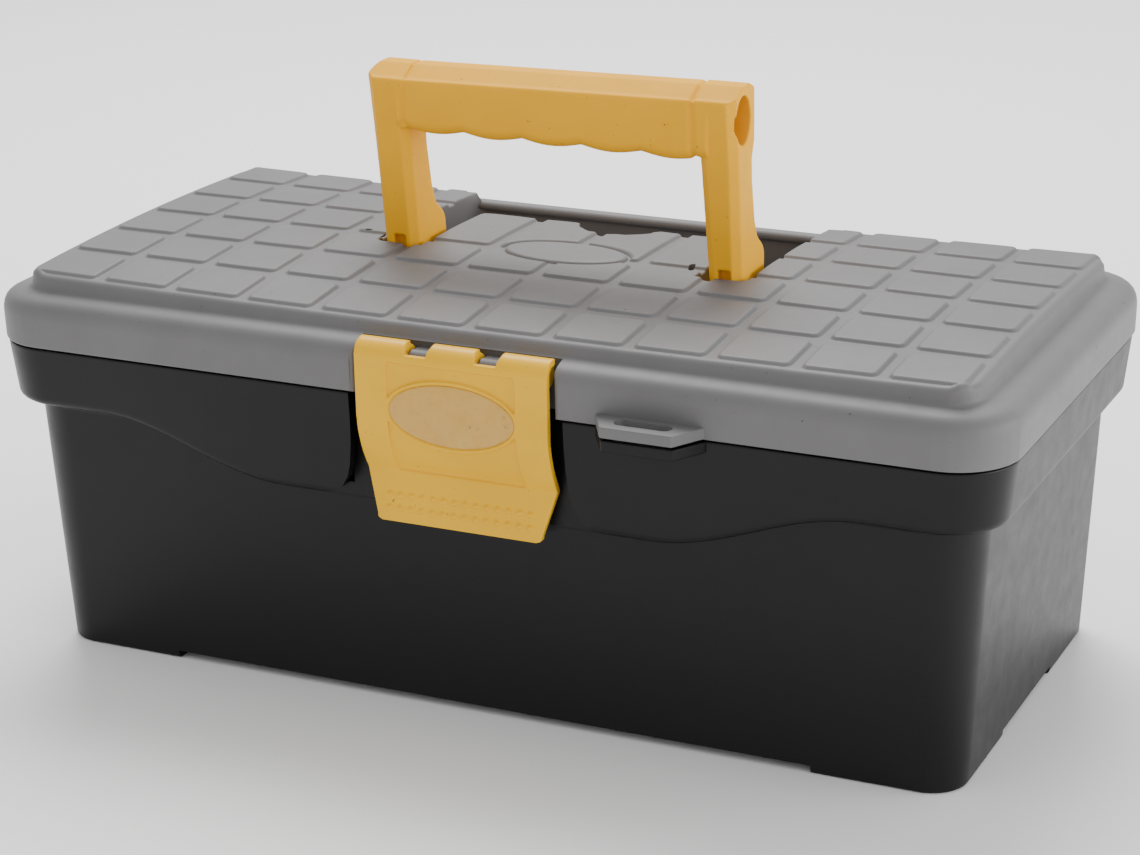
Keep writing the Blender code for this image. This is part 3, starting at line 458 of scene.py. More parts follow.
def lid_top(x, y):
    """The platform's height, with tiles, the rounded lip of the well and the lower rear bar."""
    lip, bar_drop = 0.8, 3.2
    near = np.clip(from_well(x, y), 0.0, lip)
    drop = lip - np.sqrt(lip ** 2 - (lip - near) ** 2)
    bar = smooth((y - RECESS_REAR + 2.0) / 2.0) * (1 - smooth((np.abs(x) - RECESS_X) / 2.5))
    return crown(x, y) - TILE_RISE * (1 - tile_share(x, y) * (1 - bar)) - drop - bar_drop * bar


def axis_lines(pitch, count, offsets, limit, corner, edges):
    """Grid lines along one axis, close together at the tiles' flanks and at the well's lips."""
    wanted = [s * v for v in (limit, limit - corner) for s in (-1, 1)]
    wanted += [e + s * o for e in edges for o in (0.0, 0.15, 0.35, 0.6, 0.8) for s in (-1, 1)]
    wanted += [limit - corner * (1 - f) for f in (0.25, 0.5, 0.75)]
    wanted += [-(limit - corner * (1 - f)) for f in (0.25, 0.5, 0.75)]
    centres = [(i - (count - 1) / 2) * pitch for i in range(count)]
    wanted += [c + s * o for c in centres for o in offsets for s in (-1, 1)]
    kept = []
    for value in wanted:
        if abs(value) <= limit and all(abs(value - k) > 0.11 for k in kept):
            kept.append(value)
    return np.array(sorted(kept))


def lid_grid():
    """The platform's top as a grid with rounded corners: points, faces and the rim's order."""
    half = (PLATE_X - PLATE_EDGE, PLATE_Y - PLATE_EDGE)
    corner = PLATE_R - PLATE_EDGE
    flank = (1.7, 1.3, 0.9, 0.6, 0.35, 0.1, -0.1, -0.35, -0.6, -1.0)
    gx = axis_lines(TILE_PITCH[0], TILE_COUNT[0],
                    [0.0, 4.5, 8.0] + [TILE_HALF[0] - f for f in flank] + [TILE_PITCH[0] / 2],
                    half[0], corner, (-RECESS_X, -ISLAND_X, ISLAND_X, RECESS_X))
    gy = axis_lines(TILE_PITCH[1], TILE_COUNT[1],
                    [0.0, 4.5, 7.5] + [TILE_HALF[1] - f for f in flank] + [TILE_PITCH[1] / 2],
                    half[1], corner, (RECESS_FRONT, ISLAND_REAR, RECESS_REAR))
    x, y = np.meshgrid(gx, gy)
    a = np.clip((np.abs(x) - half[0] + corner) / corner, 0, 1)
    b = np.clip((np.abs(y) - half[1] + corner) / corner, 0, 1)
    x = np.sign(x) * (np.minimum(np.abs(x), half[0] - corner) + corner * a * np.sqrt(1 - b * b / 2))
    y = np.sign(y) * (np.minimum(np.abs(y), half[1] - corner) + corner * b * np.sqrt(1 - a * a / 2))
    columns, rows = len(gx), len(gy)
    index = np.arange(columns * rows).reshape(rows, columns)
    quads = np.stack([index[:-1, :-1], index[:-1, 1:], index[1:, 1:], index[1:, :-1]], axis=-1)
    rim = np.concatenate([index[0, :-1], index[:-1, -1], index[-1, :0:-1], index[:0:-1, 0]])
    points = np.stack([x.ravel(), y.ravel(), lid_top(x, y).ravel()], axis=1)
    return points, [tuple(q) for q in quads.reshape(-1, 4)], rim, (half, corner)


def rim_places(points, half, corner):
    """The loop description of the grid's rim, so that rings further out follow its points."""
    x, y = points[:, 0], points[:, 1]
    sx = np.clip(x / (half[0] - corner), -1, 1)
    t = np.clip(y / (half[1] - corner), -1, 1)
    cx = (x - sx * (half[0] - corner)) / corner
    cy = (y - t * (half[1] - corner)) / corner
    return sx, cx, (1 - t) / 2, (1 + t) / 2, cy


def lid_skin():
    """The lid's outside as one closed body: tiled top, step, shoulder, skirt and flat underside."""
    points, faces, rim, (half, corner) = lid_grid()
    places = rim_places(points[rim], half, corner)
    height = points[rim, 2]
    rings = []
    for degrees in (18, 36, 54, 72, 90):
        out = PLATE_EDGE * math.sin(math.radians(degrees))
        drop = PLATE_EDGE * (1 - math.cos(math.radians(degrees)))
        rings.append(ring(loop(places, half[0] + out, half[1] + out, half[1] + out, corner + out),
                          height - drop))
    profile = ((0.025, 127.9), (0.045, 127.1), (0.075, 126.55), (0.125, 126.2), (0.2, 125.95),
               (0.45, 125.35), (0.6, 124.9), (0.72, 124.35), (0.82, 123.6), (0.9, 122.6),
               (0.955, 121.4), (0.99, 119.9), (1.0, 118.4), (0.978, 109.9), (0.968, 109.4),
               (0.945, 109.08), (0.91, LID_BOTTOM))
    for share, z in profile:
        outline = loop(places, PLATE_X + (LID_X - PLATE_X) * share, PLATE_Y + (LID_Y - PLATE_Y) * share,
                       PLATE_Y + (LID_Y - PLATE_Y) * share, PLATE_R + (LID_R - PLATE_R) * share)
        rings.append(ring(outline, np.minimum(z, rings[-1][:, 2] - 0.02)))
    levels = [rim] + [len(points) + len(rim) * i + np.arange(len(rim)) for i in range(len(rings))]
    for upper, lower in zip(levels, levels[1:]):
        faces += [tuple(q) for q in np.stack([upper, lower, np.roll(lower, -1), np.roll(upper, -1)],
                                             axis=1)]
    faces.append(tuple(levels[-1]))
    made = mesh_object("lid", np.concatenate([points] + rings), faces)
    outward(made)
    return made


def u_outline(grow):
    """The well's outline seen from above, grown outwards by a distance."""
    x, front, rear = RECESS_X + grow, RECESS_FRONT - grow, RECESS_REAR + grow
    island, inner = ISLAND_X - grow, ISLAND_REAR - grow
    r, s = RECESS_R + grow, ISLAND_R
    outline = arc(-x + r, rear - r, r, 90, 180, 8) + arc(-x + r, front + r, r, 180, 270, 8)
    outline += [(-island, front)] + arc(-island + s, inner - s, s, 180, 90, 6)
    outline += arc(island - s, inner - s, s, 90, 0, 6) + [(island, front)]
    outline += arc(x - r, front + r, r, -90, 0, 8) + arc(x - r, rear - r, r, 0, 90, 8)
    return outline


def lid_cavity():
    """The room under the lid, less the walls of the well and of the latch's pocket."""
    places = loop_frame(12, 6, 12, 8)
    rings = []
    for inset, z in ((2.5, 100.0), (2.2, 118.5), (3.2, 120.6), (5.5, 122.6)):
        rings.append(ring(loop(places, LID_X - inset, LID_Y - inset, LID_Y - inset, LID_R - inset), z))
    for share, z in ((1.0, 123.8), (0.985, None), (0.8, None), (0.6, None), (0.4, None), (0.2, None)):
        x, y = loop(places, PLATE_X * share, PLATE_Y * share, PLATE_Y * share, PLATE_R * share)
        rings.append(ring((x, y), crown(x, y) - TILE_RISE - LID_WALL if z is None else z))
    made = joined("cavity", rings)
    zone, back, wall = LATCH_ZONE, LATCH_POCKET_BACK, LID_WALL
    cut(made,
        prism("well_wall", u_outline(RECESS_WALL), RECESS_FLOOR - RECESS_WALL, 140.0, 'Z'),
        prism("scoop_wall", ellipse(SCOOP_X, SCOOP_Y, SCOOP_HALF + 2, SCOOP_DEEP + 2),
              SCOOP_FLOOR - RECESS_WALL, 140.0, 'Z'),
        block("bar_wall", (-RECESS_X - 4.0, RECESS_X + 4.0), (RECESS_REAR, 90.0), (122.0, 140.0)),
        block("pocket_wall", (-zone - wall, zone + wall), (-90.0, back + wall), (90.0, 122.5)),
        block("pocket_back", (-zone - wall, zone + wall), (-90.0, back + wall), (121.5, 128.6)))
    return made


def latch_pocket():
    """The notch in the lid's front for the latch, flared at its mouth."""
    zone, back, flare = LATCH_ZONE, LATCH_POCKET_BACK, 1.5
    right = arc(zone + flare, -LID_Y + flare + 0.3, flare, 180, 270, 5)
    left = arc(-zone - flare, -LID_Y + flare + 0.3, flare, 270, 360, 5)
    outline = left + [(-zone, back), (zone, back)] + right
    outline += [(zone + flare, -95.0), (-zone - flare, -95.0)]
    return prism("pocket", outline[::-1], 100.0, 126.1, 'Z')


def hasp_plate(name, low, high, reach, root):
    """A tapered plate with a straight root inside the wall."""
    foot, r = -LID_Y + 0.3, 1.2
    outline = [(HASP_X - HASP_ROOT, root), (HASP_X - HASP_ROOT, foot)]
    outline += arc(HASP_X - HASP_TIP + r, -reach + r, r, 215, 270, 4)
    outline += arc(HASP_X + HASP_TIP - r, -reach + r, r, 270, 325, 4)
    outline += [(HASP_X + HASP_ROOT, foot), (HASP_X + HASP_ROOT, root)]
    return prism(name, outline, low, high, 'Z', 0.45)


def hasp_slot(name, low, high):
    """The long hole for a shackle."""
    r = HASP_SLOT_Y / 2
    outline = arc(HASP_X + HASP_SLOT_X / 2 - r, HASP_SLOT_MIDDLE, r, -90, 90, 12)
    outline += arc(HASP_X - HASP_SLOT_X / 2 + r, HASP_SLOT_MIDDLE, r, 90, 270, 12)
    return prism(name, outline, low, high, 'Z')


def well_vents():
    """Small slots in the lid's top beside the handle's legs."""
    slots = ((-74.7, 3.2, 1.5, 0.6), (44.2, 2.6, 1.1, 1.9), (-67.9, 0.6, 0.7, 1.6))
    return [prism("vent", ellipse(x, y, half_x, half_y, 20), 120.0, 140.0, 'Z')
            for x, y, half_x, half_y in slots]


def emblem_layers(profile):
    """Oval rings over the tiles' foot, each grown by a distance and raised by another."""
    layers = []
    for grow, rise in profile:
        half_x, half_y = (half + grow for half in EMBLEM_SIZE)
        x, y = np.array(ellipse(*EMBLEM_PLACE, half_x, half_y, 120)).T
        layers.append(ring((x, y), crown(x, y) - TILE_RISE + rise))
    return layers


def blank_emblem():
    """The moat in the tiles, and the low oval boss that stands in it."""
    moat = ((1.1, -0.03), (1.3, 0.2), (1.6, 0.6), (2.0, 0.95), (2.6, 1.15), (3.4, 1.35), (3.4, 5.0))
    boss = ((0.3, -0.8), (0.3, -0.03), (0.1, 0.25), (-0.2, 0.65), (-0.6, 0.95), (-1.2, 1.12),
            (-3.0, 1.2), (-6.0, 1.25), (-10.0, 1.28))
    return joined("moat", emblem_layers(moat)), joined("boss", emblem_layers(boss))


def rear_hinge_arm(middle):
    """The lid's arm and knuckle at one rear hinge."""
    x0, x1 = middle - HINGE_LID_HALF, middle + HINGE_LID_HALF
    outline = [(LID_Y - 1.5, 117.0), (LID_Y - 1.5, 112.0), (LID_Y - 0.3, 109.6),
               (HINGE_Y - 2.9, HINGE_Z), (HINGE_Y + HINGE_R - 0.1, HINGE_Z),
               (HINGE_Y + HINGE_R - 0.3, 110.0), (LID_Y + 1.5, 117.0)]
    return [prism("arm", outline, x0, x1, 'X'),
            rod("knuckle", HINGE_R, x0, x1, HINGE_Y, HINGE_Z, 0.4)]


def lid_shell(material):
    """The lid with its well, emblem, latch pocket, knuckles, padlock eye and rear bar."""
    made = lid_skin()
    moat, boss = blank_emblem()
    cut(made, moat)
    add(made, boss)
    cut(made, lid_cavity(), latch_pocket(),
        prism("well", u_outline(0.0), RECESS_FLOOR, 140.0, 'Z'),
        prism("scoop", ellipse(SCOOP_X, SCOOP_Y, SCOOP_HALF, SCOOP_DEEP),
              SCOOP_FLOOR, 140.0, 'Z'))
    back = LATCH_Y + LATCH_ROLL + 1.4
    half, low = LATCH_KNUCKLE_HALF, LID_BOTTOM + 0.3
    for side in (-1, 1):
        x, hinge = side * LATCH_KNUCKLE_X, side * HINGE_X
        add(made,
            block("arm", (x - half, x + half), (LATCH_Y, back), (LATCH_Z - 2.2, LATCH_Z + 2.2)),
            rod("knuckle", LATCH_KNUCKLE_R, x - half, x + half, LATCH_Y, LATCH_Z, 0.3))
        add(made, *rear_hinge_arm(hinge))
        x0, x1 = sorted((side * (ISLAND_X - 4), side * (RECESS_X + 4)))
        cut(made,
            rod("hinge_bore", HINGE_BORE, hinge - 9, hinge + 9, HINGE_Y, HINGE_Z),
            rod("pivot_bore", HANDLE_PIN_BORE, x0, x1, PIVOT_Y, PIVOT_Z))
    cut(made, rod("latch_bore", LATCH_BORE, -LATCH_BORE_X, LATCH_BORE_X, LATCH_Y, LATCH_Z))
    add(made, hasp_plate("eye", low, low + HASP_THICK, HASP_REACH, -LID_Y + 1.2))
    cut(made, hasp_slot("eye_slot", 100.0, 125.0), *well_vents())
    add(made, rod("rear_bar", BAR_R, -RECESS_X - 1.0, RECESS_X + 1.0, BAR_Y, BAR_Z, oval=BAR_FLAT))
    return finish(made, "lid", ["lid_shell", "padlock_eye"], material)


# ---- bin ---------------------------------------------------------------------------
def band_edge(x, y):
    """Height of the band's lower edge: a wave that dips towards the middle of the front."""
    t = np.clip((np.abs(x) - WAVE_START) / (WAVE_END - WAVE_START), 0.0, 1.0)
    wave = BAND_LOW + (BAND_HIGH - BAND_LOW) * (0.5 - 0.5 * np.cos(math.pi * t))
    return np.where(y > 0, BAND_HIGH, wave)


def bin_rings():
    """Rings from the bin's underside up its outside, over the rim and down its inside."""
    places = loop_frame(150, 10, 40, 14)
    edge = band_edge(*loop(places, BIN_X, BIN_FRONT, BIN_REAR, BIN_R))

    def body(z, inset=0.0):
        grow = (z - FOOT_HEIGHT) / (BAND_HIGH - FOOT_HEIGHT)
        out = DRAFT * grow - inset
        return loop(places, BIN_X + out, BIN_FRONT + out, BIN_REAR + REAR_DRAFT * grow - inset,
                    np.maximum(BIN_R + out, 4.0))

    def band(inset):
        return loop(places, BAND_X - inset, BAND_FRONT - inset, BAND_REAR - inset, BAND_R - inset)

    rings = [ring(body(z, inset), z) for z, inset in ((0.0, 1.2), (0.35, 0.45), (1.2, 0.0))]
    flare = ((0.0, -1.6), (0.04, -0.5), (0.15, 0.0), (0.35, 0.15), (0.55, 0.35), (0.72, 0.7),
             (0.85, 1.3), (0.94, 2.1), (0.985, 3.0), (1.0, 4.0))
    for share, rise in flare:
        inner, outer = body(edge + rise), band(0.0)
        blend = [i + (o - i) * share for i, o in zip(inner, outer)]
        rings.append(ring(blend, edge + rise))
    top = ((BAND_TOP - 0.8, -BAND_DRAFT), (BAND_TOP - 0.25, 0.25 - BAND_DRAFT),
           (BAND_TOP, 0.8 - BAND_DRAFT), (BAND_TOP, RIM_INSET),
           (RIM_TOP - 0.3, RIM_INSET), (RIM_TOP, RIM_INSET + 0.3),
           (RIM_TOP, RIM_INSET + BIN_WALL - 0.3), (RIM_TOP - 0.3, RIM_INSET + BIN_WALL))
    rings += [ring(band(inset), z) for z, inset in top]
    rings.append(ring(band(RIM_INSET + BIN_WALL), edge + LEDGE))
    rings.append(ring(body(edge + LEDGE, BIN_WALL), edge + LEDGE))
    floor = FOOT_HEIGHT + BIN_WALL
    bottom = ((floor + 1.6, BIN_WALL), (floor + 0.5, BIN_WALL + 0.5), (floor, BIN_WALL + 1.6))
    return rings + [ring(body(z, inset), z) for z, inset in bottom]


def cut_latch_pocket(made):
    """The band stops beside the latch; behind it are a flat wall, a sunk field and a catch."""
    back, half = POCKET_BACK, POCKET_HALF
    side = [(half, 120.0), (half, 100.0), (half + 0.3, 92.0), (half + 1.2, 84.0), (half + 2.4, 79.5),
            (half + 4.6, 75.8), (half + 8.2, 73.4), (half + 15.0, 71.8), (half + 24.0, 70.6),
            (half + 30.0, 68.0)]
    outline = [(-x, z) for x, z in side][::-1] + side
    sunk = back + FIELD_DEEP
    add(made,
        block("pad", (-half - 3, half + 3), (back - 1.0, back + BIN_WALL), (74.4, 108.0)),
        block("thick_pad", (-FIELD_HALF - 3, FIELD_HALF + 3), (back, sunk + BIN_WALL), (77.0, 108.0)))
    cut(made,
        prism("pocket", outline[::-1], -100.0, back, 'Y'),
        block("sunk_field", (-FIELD_HALF, FIELD_HALF), (-100.0, sunk), (81.0, 120.0)),
        block("rim_cut", (-half - 1.5, half + 1.5), (-100.0, -60.0), (LID_BOTTOM - 0.4, 120.0)))
    catch = [(sunk + 1, 84.0), (back - 0.3, 88.0), (back - 0.6, 97.0), (sunk + 1, 100.0)]
    add(made, prism("catch", catch, -CATCH_HALF, CATCH_HALF, 'X'))


def bin_shell(material):
    """The bin with its feet, latch pocket, lower padlock tab and hinge knuckles."""
    made = joined("bin", bin_rings())
    wide, end_x = 200.0, BIN_X - FOOT_LENGTH
    cut(made,
        block("gap_along", (-end_x, end_x), (-wide, wide), (-5.0, FOOT_HEIGHT)),
        block("gap_across", (-wide, wide), (FOOT_LENGTH - BIN_FRONT, BIN_REAR - FOOT_LENGTH),
              (-5.0, FOOT_HEIGHT)))
    cut_latch_pocket(made)
    top = LID_BOTTOM - 0.6
    add(made, hasp_plate("tab", top - HASP_THICK, top, HASP_REACH - 0.6, -BAND_FRONT + 1.0))
    cut(made, hasp_slot("tab_slot", top - 10, top + 5))
    arm = [(BAND_REAR - 1.0, 99.0), (HINGE_Y + 1.5, HINGE_Z - HINGE_R + 0.5),
           (HINGE_Y + 1.5, HINGE_Z + 2.0), (BAND_REAR - 1.0, HINGE_Z + 2.0)]
    near, far = HINGE_BIN_ARM
    for hinge in (-HINGE_X, HINGE_X):
        for step in (-1, 1):
            x0, x1 = sorted((hinge + step * near, hinge + step * far))
            add(made,
                prism("arm", arm, x0, x1, 'X'),
                rod("knuckle", HINGE_R, x0, x1, HINGE_Y, HINGE_Z, 0.4))
        cut(made, rod("bore", HINGE_BORE, hinge - 20.0, hinge + 20.0, HINGE_Y, HINGE_Z))
    return finish(made, "bin", ["bin_shell"], material)


# ---- latch -------------------------------------------------------------------------
def latch_path():
    """The latch's outer face in Y-Z, from its rolled top down to its tip."""
    path = arc(LATCH_Y, LATCH_Z, LATCH_ROLL, 72, 180, 18)
    steps, y0 = 16, LATCH_Y - LATCH_ROLL
    for i in range(steps + 1):
        t = i / steps
        path.append((y0 + (LATCH_CREASE[0] - y0) * t * t,
                     LATCH_STRAIGHT_END + (LATCH_CREASE[1] - LATCH_STRAIGHT_END) * t))
    return path + [LATCH_TIP]


def inside(path, distance):
    """The same path, moved towards the box by a distance."""
    moved = []
    for i, (y, z) in enumerate(path):
        before, after = Vector(path[max(i - 1, 0)]), Vector(path[min(i + 1, len(path) - 1)])
        along = (after - before).normalized()
        moved.append((y - along.y * distance, z + along.x * distance))
    return moved


def latch_front():
    """The latch seen from the front: straight sides, tapered tab, rounded corners."""
    low, r = LATCH_TIP[1], 1.6
    right = [(LATCH_X, 130.0), (LATCH_X, LATCH_CREASE[1])]
    right += arc(LATCH_TIP_X - r + 0.3, low + r, r, 10, -90, 6)
    left = [(-x, z) for x, z in reversed(right)]
    return (right + left)[::-1]


def latch_dots():
    """Two rows of small grip dots on the tab."""
    slope = (LATCH_TIP[0] - LATCH_CREASE[0]) / (LATCH_TIP[1] - LATCH_CREASE[1])
    radius, count, reach = 0.95, 14, 24.5
    for z in (75.6, 71.4):
        y = LATCH_CREASE[0] + slope * (z - LATCH_CREASE[1])
        for i in range(count):
            x = -reach + 2 * reach * i / (count - 1)
            rings = [turned(ellipse(x, z, radius * share, radius * share, 12), y - rise, 'Y')
                     for share, rise in ((1.0, -0.6), (1.0, 0.25), (0.75, 0.65), (0.3, 0.85))]
            yield joined("dot", rings)


def latch_plate(material):
    """The latch with its sunk field, barrel, knuckle notches, badge rim and dots."""
    path = latch_path()
    face = LATCH_Y - LATCH_ROLL
    made = prism("latch", path + inside(path, LATCH_THICK)[::-1], -LATCH_X, LATCH_X, 'X')
    field = [(face, LATCH_FIELD_TOP)] + [p for p in path if p[1] < LATCH_FIELD_TOP][:-1]
    cut(made, prism("field", inside(field, -1.5) + inside(field, LATCH_FIELD_DEEP)[::-1],
                    -LATCH_FIELD_X, LATCH_FIELD_X, 'X'))
    combine(made, prism("front", latch_front(), -120.0, -60.0, 'Y'), 'INTERSECT')
    add(made, rod("barrel", LATCH_ROLL - 1.0, -LATCH_X + 1.5, LATCH_X - 1.5, LATCH_Y, LATCH_Z))
    skin, half = face + LATCH_THICK, LATCH_GAP_HALF
    for x in (-LATCH_KNUCKLE_X, LATCH_KNUCKLE_X):
        mouth = [(x - half, LATCH_Z + 1.8), (x + half, LATCH_Z + 1.8), (x + half, LATCH_Z + 3.0),
                 (x + half + 1.6, 130.0), (x - half - 1.6, 130.0), (x - half, LATCH_Z + 3.0)]
        cut(made, block("gap", (x - half, x + half), (skin, -65.0), (LATCH_Z - 7.0, 130.0)),
            prism("notch", mouth, -95.0, -65.0, 'Y'))
    cut(made, rod("bore", LATCH_BORE, -LATCH_BORE_X, LATCH_BORE_X, LATCH_Y, LATCH_Z))
    rim = ellipse(0.0, BADGE_Z, BADGE_X + BADGE_RIM, BADGE_HEIGHT + BADGE_RIM)
    add(made, prism("badge_rim", rim, face - 0.05, face + 1.2, 'Y'))
    cut(made, prism("seat", ellipse(0.0, BADGE_Z, BADGE_X + 0.3, BADGE_HEIGHT + 0.3),
                    face - 1.0, face + 0.7, 'Y'))
    add(made, *latch_dots())
    remeshed(made, size=0.3, passes=3, keep=0.4)
    return finish(made, "latch", ["latch_plate"], material, 60.0)


def latch_badge(material):
    """A blank oval with a softly domed face."""
    face = LATCH_Y - LATCH_ROLL
    profile = ((1.0, 0.68), (1.0, 0.45), (0.985, 0.32), (0.95, 0.25), (0.8, 0.17), (0.5, 0.11), (0.2, 0.09))
    rings = [turned(ellipse(0.0, BADGE_Z, BADGE_X * share, BADGE_HEIGHT * share), face + back, 'Y')
             for share, back in profile]
    return finish(joined("badge", rings), "latch", ["latch_badge"], material, 60.0)


# ---- handle ------------------------------------------------------------------------
def handle_leg(side):
    """One leg in Y-Z, with a round foot and a heel that stops it upright."""
    foot_r = 5.2
    outline = arc(PIVOT_Y, PIVOT_Z, foot_r, 180, 270, 8)
    outline += [(11.3, PIVOT_Z - foot_r), (14.6, PIVOT_Z - 2.0), (14.8, 138.2), (14.3, 140.0),
                (13.2, 141.6), (8.6, 145.6), (6.8, 151.0), (4.6, 165.0), (4.4, 172.0), (6.5, 177.5)]
    outline += grip_crown(max(side, 0)) + [(-9.7, 173.0)]
    x0, x1 = sorted((side * LEG_INNER, side * LEG_OUTER))
    made = prism("leg", outline, x0, x1, 'X')
    for vertex in made.data.vertices:
        near = abs(vertex.co.x) < (LEG_INNER + 2) * MM
        vertex.co.x = side * MM * leg_side(side, near, vertex.co.z / MM)
    return made


def leg_side(side, inner, z):
    """Distance of a leg's inner or outer face from the middle of the box at a height."""
    rise = (z - PIVOT_Z) / (HANDLE_TOP - PIVOT_Z)
    foot, top = LEG_SIDES[side][:2] if inner else LEG_SIDES[side][2:]
    return foot + (top - foot) * rise


def leg_wedge(side, inner):
    """What bevels one front edge of a leg; an inner edge is bevelled up to the grip only."""
    away = -side if inner else side
    rings = []
    for z, y in LEG_FRONT:
        if inner and z > GRIP_BOTTOM:
            y, z = y + 1.9, GRIP_BOTTOM
        x = side * leg_side(side, inner, z)
        rings.append([(x - away * (LEG_BEVEL + 4), y - 4, z), (x + away * 8, y - 4, z),
                      (x + away * 8, y + LEG_BEVEL + 8, z)])
    return joined("wedge", [np.array(ring, float) for ring in rings])


def grip_crown(share):
    """The top of the grip's section in Y-Z, from its back to its front: a sloping front half."""
    back, front, top = GRIP_BACK, GRIP_FRONT, HANDLE_TOP + GRIP_LIFT * share
    outline = arc(back - 2.0, top - 3.4, 2.0, 0, 60, 5) + [(2.4, top - 0.1), (-3.0, top - 0.2)]
    return outline + [(front + 1.8, top - 3.6)] + arc(front + 1.3, top - 5.0, 1.3, 120, 180, 4)


def grip_section(x):
    """A section of the grip; its underside bulges once for each finger."""
    span = 2 * LEG_INNER / FINGERS
    phase = ((x + LEG_INNER) / span) % 1.0
    share = min(max((x / LEG_INNER + 1) / 2, 0.0), 1.0)
    bottom = GRIP_BOTTOM - GRIP_DROP * share - GRIP_BULGE * math.sin(math.pi * phase)
    r = 4.2
    section = arc(GRIP_FRONT + r, bottom + r, r, 180, 270, 8)
    section += arc(GRIP_BACK - r, bottom + r, r, 270, 360, 8) + grip_crown(share)
    groove = sum(GROOVE_DEPTH * max(0.0, 1 - abs(x - place) / GROOVE_HALF) for place in GROOVE_PLACES)
    return turned(moved_in(section, 0.1 + groove), x, 'X')


def handle_front():
    """The handle seen from the front, with its two different top corners."""
    top, left, right = HANDLE_TOP + 0.5, -LEG_SIDES[-1][3] - 0.1, LEG_SIDES[1][2] + 0.1
    outline = [(left - 5, 100.0), (right + 5, 100.0)]
    outline += [(right, top - 20.0)] + arc(right - 2.0, top + GRIP_LIFT - 2.0, 2.0, 0, 90, 6)
    outline += arc(left + 4.5, top - 4.5, 4.5, 90, 180, 10) + [(left, top - 20.0)]
    return prism("front", outline, -60.0, 60.0, 'Y')


def carry_handle(material):
    """Two legs and a hollow grip in one moulding, with every edge a little rounded."""
    legs = {side: handle_leg(side) for side in (-1, 1)}
    for side, leg in legs.items():
        cut(leg, leg_wedge(side, True), leg_wedge(side, False))
    made = legs[-1]
    made.name = "handle"
    end, stations = LEG_INNER + 2.5, 200
    add(made, legs[1],
        joined("grip", [grip_section(-end + 2 * end * i / stations) for i in range(stations + 1)]))
    combine(made, handle_front(), 'INTERSECT')
    cut(made, rod("hollow", HOLLOW_R, HOLLOW_END, 80.0, HOLLOW_Y, HOLLOW_Z, oval=HOLLOW_OVAL))
    for side in (-1, 1):
        x0, x1 = sorted((side * (LEG_INNER - 1), side * (LEG_OUTER + 3)))
        middle = side * (LEG_INNER + LEG_OUTER) / 2 + 1.0
        cut(made, rod("bore", HANDLE_PIN_BORE, x0, x1, PIVOT_Y, PIVOT_Z),
            block("notch", (middle - 2.2, middle + 2.2), (-10.0, -4.2), (131.6, 137.6)))
    remeshed(made, size=0.35, passes=5, keep=0.4)
    return finish(made, "handle", ["carry_handle"], material, 60.0)


# ---- pins --------------------------------------------------------------------------
def pins(material):
    """The steel pins of the rear hinges, of the handle and of the latch."""
    for word, side in (("left", -1), ("right", 1)):
        middle = side * HINGE_X
        x0, x1 = sorted((side * (ISLAND_X - 1.8), side * (RECESS_X + 1.8)))
        finish(rod("hinge_pin_" + word + "_fine", HINGE_PIN_R,
                   middle - HINGE_PIN_HALF, middle + HINGE_PIN_HALF, HINGE_Y, HINGE_Z, 0.3),
               "bin", ["hinge_pin_" + word], material)
        finish(rod("handle_pin_" + word + "_fine", HANDLE_PIN_R, x0, x1, PIVOT_Y, PIVOT_Z, 0.3),
               "lid", ["handle_pin_" + word], material)
    finish(rod("latch_pin_fine", LATCH_PIN_R, -LATCH_PIN_X, LATCH_PIN_X, LATCH_Y, LATCH_Z, 0.3),
           "lid", ["latch_pin"], material)


# ---- camera ------------------------------------------------------------------------
def place_camera():
    """The view from the front right and a little above, with a long lens."""
    place = (0.3954, -0.8367, 0.4044)
    azimuth, elevation, roll = (math.radians(a) for a in (-25.105, 19.600, -1.068))
    ahead = Vector((math.sin(azimuth) * math.cos(elevation),
                    math.cos(azimuth) * math.cos(elevation), -math.sin(elevation)))
    level = Vector((math.cos(azimuth), -math.sin(azimuth), 0.0))
    above = level.cross(ahead)
    right = math.cos(roll) * level + math.sin(roll) * above
    up = right.cross(ahead)
    data = bpy.data.cameras.new("camera")
    data.sensor_width = 36.0
    data.lens = 92.67
    data.shift_x = -0.0049
    data.clip_start, data.clip_end = 0.05, 50.0
    made = bpy.data.objects.new("camera", data)
    bpy.context.scene.collection.objects.link(made)
    turn = Matrix((right, up, -ahead)).transposed().to_4x4()
    made.matrix_world = Matrix.Translation(place) @ turn
    bpy.context.scene.camera = made


def area_light(name, place, aim, size, power):
    """A white rectangular light at a place, turned towards a point."""
    data = bpy.data.lights.new(name, 'AREA')
    data.shape = 'RECTANGLE'
    data.size, data.size_y = size
    data.energy = power
    made = bpy.data.objects.new(name, data)
    bpy.context.scene.collection.objects.link(made)
    made.location = place
    made.rotation_euler = (Vector(aim) - Vector(place)).to_track_quat('-Z', 'Y').to_euler()


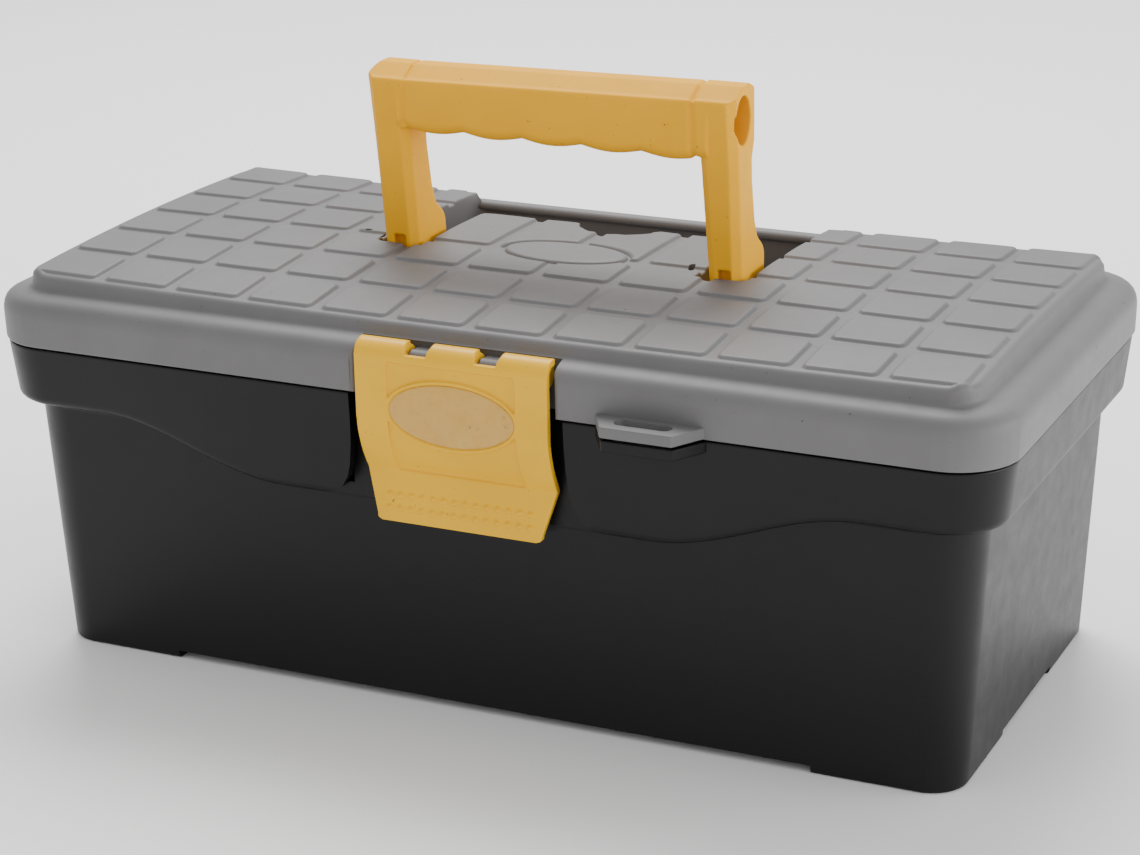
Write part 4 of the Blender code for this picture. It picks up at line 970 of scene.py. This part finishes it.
def studio():
    """A pale room: an even white world, two soft lights and a matt floor."""
    world = bpy.data.worlds.new("studio")
    world.use_nodes = True
    world.node_tree.nodes["Background"].inputs["Color"].default_value = (1.0, 1.0, 1.0, 1.0)
    world.node_tree.nodes["Background"].inputs["Strength"].default_value = 0.92
    bpy.context.scene.world = world
    area_light("key", (-0.35, 0.75, 1.35), (0.0, 0.0, 0.1), (1.0, 0.8), 30.0)
    area_light("side", (1.35, 0.15, 0.32), (0.16, 0.0, 0.06), (1.4, 0.5), 12.0)
    reach = 6000
    corners = [(-reach, -reach, 0), (reach, -reach, 0), (reach, reach, 0), (-reach, reach, 0)]
    floor = mesh_object("floor", corners, [(0, 1, 2, 3)])
    made = bpy.data.materials.new("floor")
    made.use_nodes = True
    shader = made.node_tree.nodes["Principled BSDF"]
    shader.inputs["Base Color"].default_value = (0.95, 0.95, 0.95, 1.0)
    shader.inputs["Roughness"].default_value = 0.9
    floor.data.materials.append(made)


def build():
    """Make every piece with its material; the tray keeps the part's own shapes."""
    grey = plastic("lid_plastic", (0.158, 0.154, 0.156), (0.145, 0.141, 0.143), (0.21, 0.205, 0.205),
                   roughness=0.5, shine=0.3)
    black = plastic("bin_plastic", (0.0050, 0.0044, 0.0054), (0.0042, 0.0038, 0.0046), (0.02, 0.02, 0.02),
                    roughness=0.38, shine=0.25, ripple_mm=0.03, wear=0.15)
    yellow = plastic("handle_plastic", (0.95, 0.465, 0.012), (0.89, 0.425, 0.010), (0.95, 0.54, 0.06),
                     roughness=0.5, shine=0.08, wear=0.3)
    gold = plastic("latch_plastic", (0.90, 0.495, 0.008), (0.84, 0.455, 0.006), (0.92, 0.55, 0.05),
                   roughness=0.36, shine=0.25, wear=0.3)
    metal = steel("pin_metal")
    lid_shell(grey)
    bin_shell(black)
    latch_plate(gold)
    latch_badge(amber("badge_inlay"))
    carry_handle(yellow)
    pins(metal)
    tray_black = plastic("tray_plastic", (0.014, 0.014, 0.015), (0.012, 0.012, 0.013), (0.04, 0.04, 0.04),
                         roughness=0.5, wear=0.2)
    divider_grey = plastic("divider_plastic", (0.09, 0.089, 0.09), (0.08, 0.079, 0.08), (0.14, 0.14, 0.14),
                           roughness=0.5)
    for name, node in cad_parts.items():
        if name.startswith("tray"):
            node.data.materials.clear()
            node.data.materials.append(divider_grey if "divider" in name else tray_black)


build()
place_camera()
studio()
